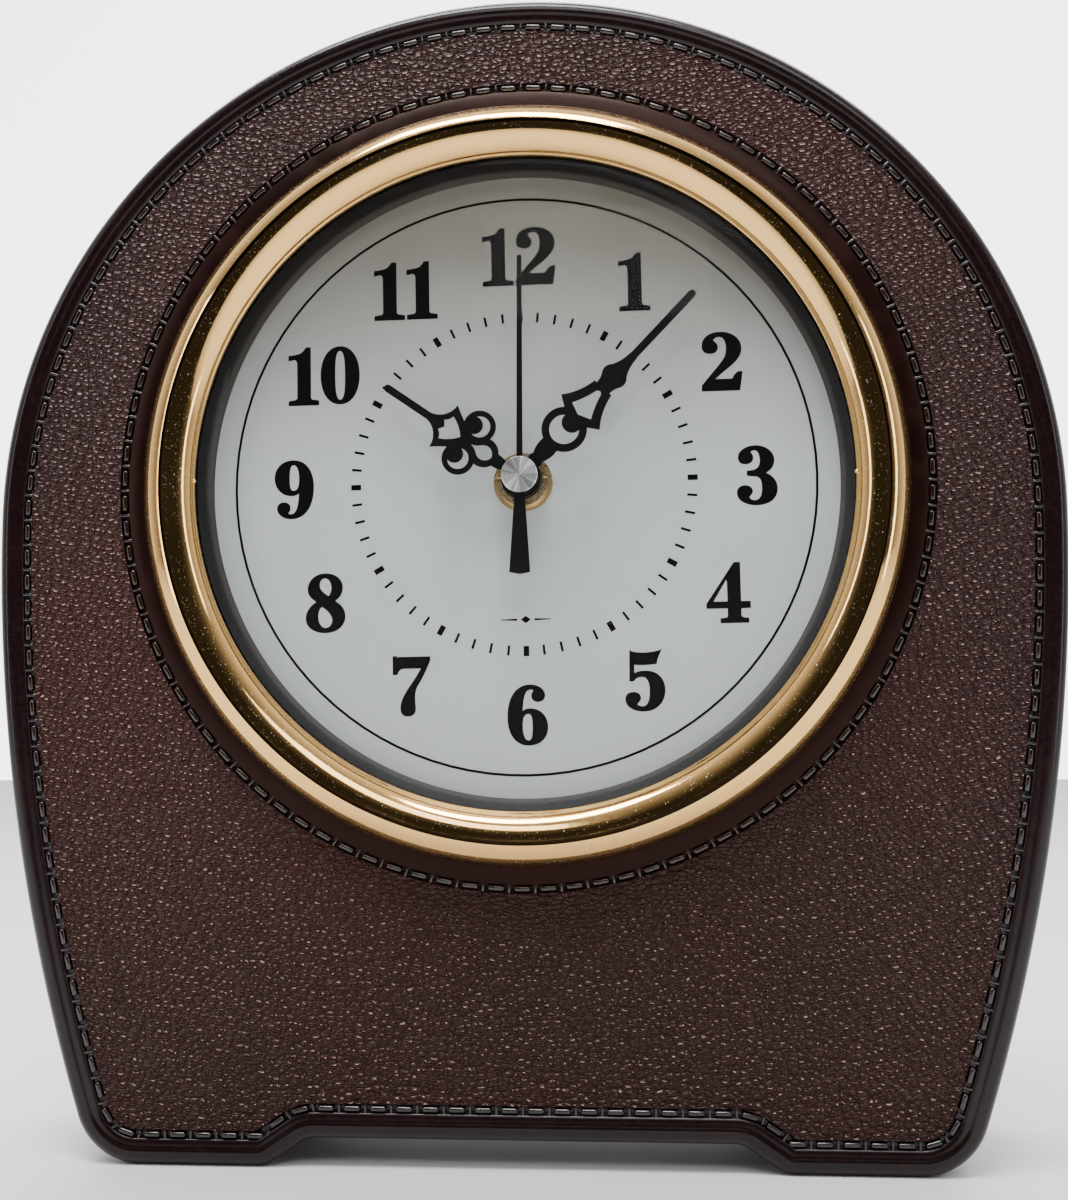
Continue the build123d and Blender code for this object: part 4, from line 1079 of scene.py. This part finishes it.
# ---- Figures, drawn one unit high from a baseline at 0 round a middle line at x = 0
FIGURES = {
    "1": {
        "width": 0.5,
        "loops": [
            [
                (-0.22, 0.0), (0.22, 0.0), (0.22, 0.05), (0.14, 0.065, -0.03, 0.0), (0.095, 0.12),
                (0.095, 1.0), (0.04, 1.0), (-0.04, 0.9, -0.05, -0.03), (-0.22, 0.86), (-0.22, 0.8),
                (-0.13, 0.815, 0.02, 0.0), (-0.085, 0.75), (-0.085, 0.12), (-0.14, 0.065, -0.04, 0.0),
                (-0.22, 0.05),
            ],
        ],
    },
    "2": {
        "width": 0.64,
        "loops": [
            [
                (-0.29, 0.0), (0.25, 0.0), (0.29, 0.3), (0.245, 0.3),
                (0.17, 0.195, 0.01, 0.06, -0.02, -0.03), (0.06, 0.175, 0.04, 0.0, -0.05, 0.0),
                (-0.14, 0.175), (0.05, 0.36, -0.07, -0.06, 0.09, 0.08),
                (0.285, 0.72, 0.0, -0.16, 0.0, 0.17), (-0.01, 1.0, 0.16, 0.0, -0.17, 0.0),
                (-0.275, 0.77, 0.0, 0.14, 0.0, -0.08), (-0.165, 0.655, -0.07, 0.0, 0.07, 0.0),
                (-0.065, 0.755, 0.0, -0.06, 0.0, 0.05), (-0.135, 0.865, 0.03, -0.03, 0.02, 0.05),
                (-0.03, 0.945, -0.05, 0.0, 0.08, 0.0), (0.085, 0.73, 0.0, 0.12, 0.0, -0.17),
                (-0.08, 0.36, 0.1, 0.14, -0.08, -0.1), (-0.29, 0.08),
            ],
        ],
    },
    "3": {
        "width": 0.62,
        "loops": [
            [
                (-0.01, 1.0, 0.13, 0.0, -0.13, 0.0), (-0.255, 0.81, 0.0, 0.11, 0.0, -0.07),
                (-0.155, 0.71, -0.06, 0.0, 0.06, 0.0), (-0.06, 0.8, 0.0, -0.05, 0.0, 0.05),
                (-0.1, 0.9, 0.02, -0.03, 0.02, 0.03), (-0.03, 0.945, -0.03, 0.0, 0.07, 0.0),
                (0.065, 0.76, 0.0, 0.1, 0.0, -0.11), (-0.03, 0.58, 0.06, 0.03, -0.03, -0.01),
                (-0.13, 0.565), (-0.13, 0.51), (-0.01, 0.495, -0.04, 0.0, 0.08, -0.02),
                (0.085, 0.28, 0.0, 0.12, 0.0, -0.14), (-0.04, 0.055, 0.08, 0.0, -0.05, 0.0),
                (-0.13, 0.11, 0.03, -0.04, -0.02, 0.02), (-0.08, 0.22, -0.01, -0.04, 0.0, 0.06),
                (-0.18, 0.315, 0.06, 0.0, -0.07, 0.0), (-0.285, 0.2, 0.0, 0.07, 0.0, -0.12),
                (-0.01, 0.0, -0.15, 0.0, 0.19, 0.0), (0.285, 0.27, 0.0, -0.16, 0.0, 0.14),
                (0.09, 0.53, 0.1, -0.02, 0.09, 0.04), (0.25, 0.76, 0.0, -0.12, 0.0, 0.14),
            ],
        ],
    },
    "4": {
        "width": 0.66,
        "loops": [
            [
                (0.16, 1.0), (0.16, 0.335), (0.3, 0.335), (0.3, 0.25), (0.16, 0.25), (0.16, 0.1),
                (0.2, 0.06, 0.02, -0.005), (0.27, 0.05), (0.27, 0.0), (-0.12, 0.0), (-0.12, 0.05),
                (-0.05, 0.06, 0.03, 0.005), (-0.01, 0.1), (-0.01, 0.25), (-0.32, 0.25), (-0.32, 0.31),
                (0.09, 1.0),
            ],
            [(-0.01, 0.335), (-0.01, 0.8), (-0.255, 0.335)],
        ],
    },
    "5": {
        "width": 0.62,
        "loops": [
            [
                (-0.2, 1.0), (-0.1, 0.97, 0.08, -0.01), (0.1, 0.97, 0.08, 0.01), (0.235, 1.0),
                (0.17, 0.8, 0.0, 0.06, -0.06, -0.01), (-0.16, 0.8, 0.08, -0.03, 0.0, 0.0),
                (-0.165, 0.6, 0.0, 0.0, 0.05, 0.05), (0.02, 0.655, -0.07, 0.0, 0.16, 0.0),
                (0.285, 0.35, 0.0, 0.18, 0.0, -0.21), (-0.02, 0.0, 0.18, 0.0, -0.14, 0.0),
                (-0.275, 0.19, 0.0, -0.11, 0.0, 0.07), (-0.17, 0.3, -0.07, 0.0, 0.06, 0.0),
                (-0.075, 0.21, 0.0, 0.06, 0.0, -0.04), (-0.13, 0.115, 0.01, 0.03, -0.01, -0.02),
                (-0.04, 0.055, -0.05, 0.0, 0.09, 0.0), (0.085, 0.34, 0.0, -0.17, 0.0, 0.15),
                (-0.035, 0.585, 0.08, 0.0, -0.05, 0.0), (-0.165, 0.51, 0.02, 0.05, 0.0, 0.0),
                (-0.21, 0.51),
            ],
        ],
    },
    "6": {
        "width": 0.62,
        "loops": [
            [
                (0.04, 1.0, 0.11, 0.0, -0.2, 0.0), (-0.285, 0.46, 0.0, 0.33, 0.0, -0.28),
                (0.01, 0.0, -0.18, 0.0, 0.17, 0.0), (0.285, 0.3, 0.0, -0.18, 0.0, 0.17),
                (0.04, 0.595, 0.14, 0.0, -0.07, 0.0), (-0.085, 0.525, 0.04, 0.05, 0.0, 0.25),
                (0.045, 0.945, -0.09, 0.0, 0.05, 0.0), (0.115, 0.905, -0.02, 0.03, -0.03, -0.02),
                (0.075, 0.82, 0.0, 0.04, 0.0, -0.05), (0.16, 0.735, -0.05, 0.0, 0.06, 0.0),
                (0.25, 0.83, 0.0, -0.05, 0.0, 0.1),
            ],
            [
                (0.01, 0.535, -0.07, 0.0, 0.07, 0.0), (0.085, 0.3, 0.0, 0.14, 0.0, -0.15),
                (0.01, 0.055, 0.06, 0.0, -0.07, 0.0), (-0.09, 0.32, 0.0, -0.15, 0.0, 0.13),
            ],
        ],
    },
    "7": {
        "width": 0.6,
        "loops": [
            [
                (-0.25, 1.0), (-0.205, 1.0), (-0.17, 0.985, 0.01, -0.01, 0.0, 0.0), (0.285, 0.985),
                (0.285, 0.935), (0.09, 0.5, 0.09, 0.14, -0.06, -0.13),
                (0.06, 0.1, 0.0, 0.12, 0.0, -0.06), (-0.04, 0.0, 0.06, 0.0, -0.07, 0.0),
                (-0.14, 0.12, 0.0, -0.08, 0.0, 0.13), (0.02, 0.52, -0.09, -0.14, 0.07, 0.11),
                (0.185, 0.815, 0.0, 0.0, 0.0, 0.0), (-0.09, 0.815, 0.06, 0.0, -0.06, 0.0),
                (-0.205, 0.71, 0.02, 0.07, 0.0, 0.0), (-0.25, 0.71),
            ],
        ],
    },
    "8": {
        "width": 0.6,
        "loops": [
            [
                (0.0, 1.0, -0.15, 0.0), (-0.255, 0.74, 0.0, 0.14, 0.0, -0.1),
                (-0.11, 0.52, -0.08, 0.06, -0.1, -0.05), (-0.285, 0.24, 0.0, 0.12, 0.0, -0.15),
                (0.0, 0.0, -0.16, 0.0, 0.17, 0.0), (0.285, 0.265, 0.0, -0.15, 0.0, 0.13),
                (0.12, 0.535, 0.1, -0.07, 0.08, 0.05), (0.25, 0.765, 0.0, -0.1, 0.0, 0.13),
            ],
            [
                (0.0, 0.945, -0.07, 0.0, 0.06, 0.0), (0.105, 0.77, 0.0, 0.09, 0.0, -0.07),
                (0.055, 0.6, 0.03, 0.05, -0.07, 0.04), (-0.1, 0.8, 0.0, -0.08, 0.0, 0.08),
            ],
            [
                (-0.055, 0.455, -0.06, -0.05, 0.08, -0.05), (0.115, 0.21, 0.0, 0.09, 0.0, -0.08),
                (0.0, 0.055, 0.07, 0.0, -0.07, 0.0), (-0.125, 0.25, 0.0, -0.1, 0.0, 0.08),
            ],
        ],
    },
    "0": {
        "width": 0.62,
        "loops": [
            [
                (0.0, 1.0, -0.18, 0.0), (-0.285, 0.5, 0.0, -0.28), (0.0, 0.0, 0.18, 0.0),
                (0.285, 0.5, 0.0, 0.28),
            ],
            [
                (0.0, 0.95, 0.08, 0.0), (0.09, 0.5, 0.0, -0.26), (0.0, 0.05, -0.08, 0.0),
                (-0.09, 0.5, 0.0, 0.26),
            ],
        ],
    },
}


def turned_round(points):
    """The same outline turned half a turn about the middle of the figure."""
    turned = []
    for spec in points:
        place = (-spec[0], 1.0 - spec[1])
        turned.append(place + tuple(-value for value in spec[2:]))
    return turned


FIGURES["9"] = {"width": 0.62, "loops": [turned_round(loop) for loop in FIGURES["6"]["loops"]]}


# ---- Finishes on the parts that keep their frame shape
def paint(name, finish):
    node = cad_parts[name]
    node.data.materials.clear()
    node.data.materials.append(finish)


def paint_nodes():
    for name, values in PLASTIC_PARTS.items():
        paint(name, plastic_finish(*values))
    for name, values in METAL_PARTS.items():
        paint(name, metal_finish(*values))
    for name, make in OTHER_PARTS.items():
        paint(name, make())


# ---- Floor, lights and camera
def area_light(name, place, size, power):
    """A lamp aimed at the middle of the dial."""
    light = bpy.data.lights.new(name, "AREA")
    light.shape = "RECTANGLE"
    light.size, light.size_y = size
    light.energy = power
    lamp = bpy.data.objects.new(name, light)
    lamp.location = place
    lamp.rotation_euler = (AXIS - Vector(place)).to_track_quat("-Z", "Y").to_euler()
    bpy.context.scene.collection.objects.link(lamp)
    return lamp


def build_room():
    """Light from all round: dim in front, bright behind, and a little more from above."""
    world = bpy.data.worlds.new("studio")
    world.use_nodes = True
    room = Tree(world.node_tree)
    place = room.add("ShaderNodeTexCoord", {}, {}, "Generated")
    depth = room.part(place, "Y")
    walls = room.ramp(depth, -0.85, 0.45, 0.03, 1.6)
    backdrop = room.ramp(depth, 0.55, 0.92, 0.0, 3.0)
    ceiling = room.ramp(room.part(place, "Z"), 0.25, 0.95, 0.0, 0.35)
    background = world.node_tree.nodes["Background"]
    background.inputs["Strength"].default_value = 1.0
    total = walls + backdrop + ceiling
    world.node_tree.links.new(total.socket, background.inputs["Color"])
    bpy.context.scene.world = world


def build_camera():
    """A camera a little to the right of the dial axis and below it, as a hand would hold it."""
    film = 36.0
    data = bpy.data.cameras.new("camera")
    data.lens = 45.0
    data.sensor_width = film
    data.sensor_height = film
    data.sensor_fit = "VERTICAL"
    data.clip_start = 0.01
    camera = bpy.data.objects.new("camera", data)
    place = Vector((22.55 * MM, DIAL_Y - 292.7 * MM, DIAL_Z - 49.93 * MM))
    tilt = radians(95.1725)
    roll = radians(0.1663)
    pan = radians(4.0144)
    camera.matrix_world = Matrix.LocRotScale(place, Euler((tilt, roll, pan)), None)
    bpy.context.scene.collection.objects.link(camera)
    bpy.context.scene.camera = camera


def build_stage():
    bm = bmesh.new()
    bmesh.ops.create_grid(bm, x_segments=1, y_segments=1, size=2.5)
    mesh = bpy.data.meshes.new("floor")
    bm.to_mesh(mesh)
    bm.free()
    floor = bpy.data.objects.new("floor", mesh)
    bpy.context.scene.collection.objects.link(floor)
    paint = Finish("floor_paint", Base_Color=(0.64, 0.64, 0.64), Roughness=0.7)
    mesh.materials.append(paint.material)
    key = area_light("key", (-0.15, -0.42, 1.30), (0.75, 0.32), 22.0)
    fill = area_light("fill", (0.15, -1.0, 1.0), (0.7, 0.4), 5.0)
    side = area_light("side", (-1.0, -0.75, 0.35), (0.12, 1.0), 2.5)
    right = area_light("right", (1.0, -0.65, 0.30), (0.12, 1.0), 2.5)
    back = area_light("back", (0.0, 0.40, 1.15), (1.6, 0.45), 14.0)
    build_room()
    build_camera()


# ---- Operators
class CLOCK_OT_case(bpy.types.Operator):
    """Build the moulded case with its leather grain and smooth rim"""

    bl_idname = "clock.case"
    bl_label = "Case"

    def execute(self, context):
        build_case()
        return {"FINISHED"}


class CLOCK_OT_stitches(bpy.types.Operator):
    """Build the two rows of moulded stitches"""

    bl_idname = "clock.stitches"
    bl_label = "Stitches"

    def execute(self, context):
        build_stitches()
        return {"FINISHED"}


class CLOCK_OT_bezel(bpy.types.Operator):
    """Build the gilt bezel with its groove and lip"""

    bl_idname = "clock.bezel"
    bl_label = "Bezel"

    def execute(self, context):
        build_bezel()
        return {"FINISHED"}


class CLOCK_OT_lens(bpy.types.Operator):
    """Build the clear domed lens and the dark reveal ring behind it"""

    bl_idname = "clock.lens"
    bl_label = "Lens and reveal"

    def execute(self, context):
        build_lens()
        build_reveal()
        return {"FINISHED"}


class CLOCK_OT_printing(bpy.types.Operator):
    """Print the numerals, the minute track, the ring and the ornament on the dial"""

    bl_idname = "clock.printing"
    bl_label = "Dial printing"

    def execute(self, context):
        build_printing()
        return {"FINISHED"}


class CLOCK_OT_finishes(bpy.types.Operator):
    """Give every part of the frame its finish"""

    bl_idname = "clock.finishes"
    bl_label = "Finishes"

    def execute(self, context):
        paint_nodes()
        return {"FINISHED"}


class CLOCK_OT_stage(bpy.types.Operator):
    """Build the floor, the lights and the camera"""

    bl_idname = "clock.stage"
    bl_label = "Stage"

    def execute(self, context):
        build_stage()
        return {"FINISHED"}


STEPS = (
    CLOCK_OT_finishes,
    CLOCK_OT_case,
    CLOCK_OT_stitches,
    CLOCK_OT_bezel,
    CLOCK_OT_lens,
    CLOCK_OT_printing,
    CLOCK_OT_stage,
)


class CLOCK_PT_panel(bpy.types.Panel):
    """The clock's steps and sizes"""

    bl_idname = "CLOCK_PT_panel"
    bl_label = "Mantel clock"
    bl_space_type = "VIEW_3D"
    bl_region_type = "UI"
    bl_category = "Clock"

    def draw(self, context):
        for step in STEPS:
            self.layout.operator(step.bl_idname)
        scene = context.scene
        for group in (scene.clock_case, scene.clock_bezel, scene.clock_dial):
            box = self.layout.box()
            for name in group.bl_rna.properties.keys():
                if name not in {"rna_type", "name"}:
                    box.prop(group, name)


CLASSES = (CaseSizes, BezelSizes, DialSizes, *STEPS, CLOCK_PT_panel)


def register():
    for item in CLASSES:
        bpy.utils.register_class(item)
    bpy.types.Scene.clock_case = bpy.props.PointerProperty(type=CaseSizes)
    bpy.types.Scene.clock_bezel = bpy.props.PointerProperty(type=BezelSizes)
    bpy.types.Scene.clock_dial = bpy.props.PointerProperty(type=DialSizes)


def unregister():
    del bpy.types.Scene.clock_dial
    del bpy.types.Scene.clock_bezel
    del bpy.types.Scene.clock_case
    for item in reversed(CLASSES):
        bpy.utils.unregister_class(item)


def main():
    register()
    for step in STEPS:
        group, name = step.bl_idname.split(".")
        getattr(getattr(bpy.ops, group), name)()


if __name__ == "__main__":
    main()
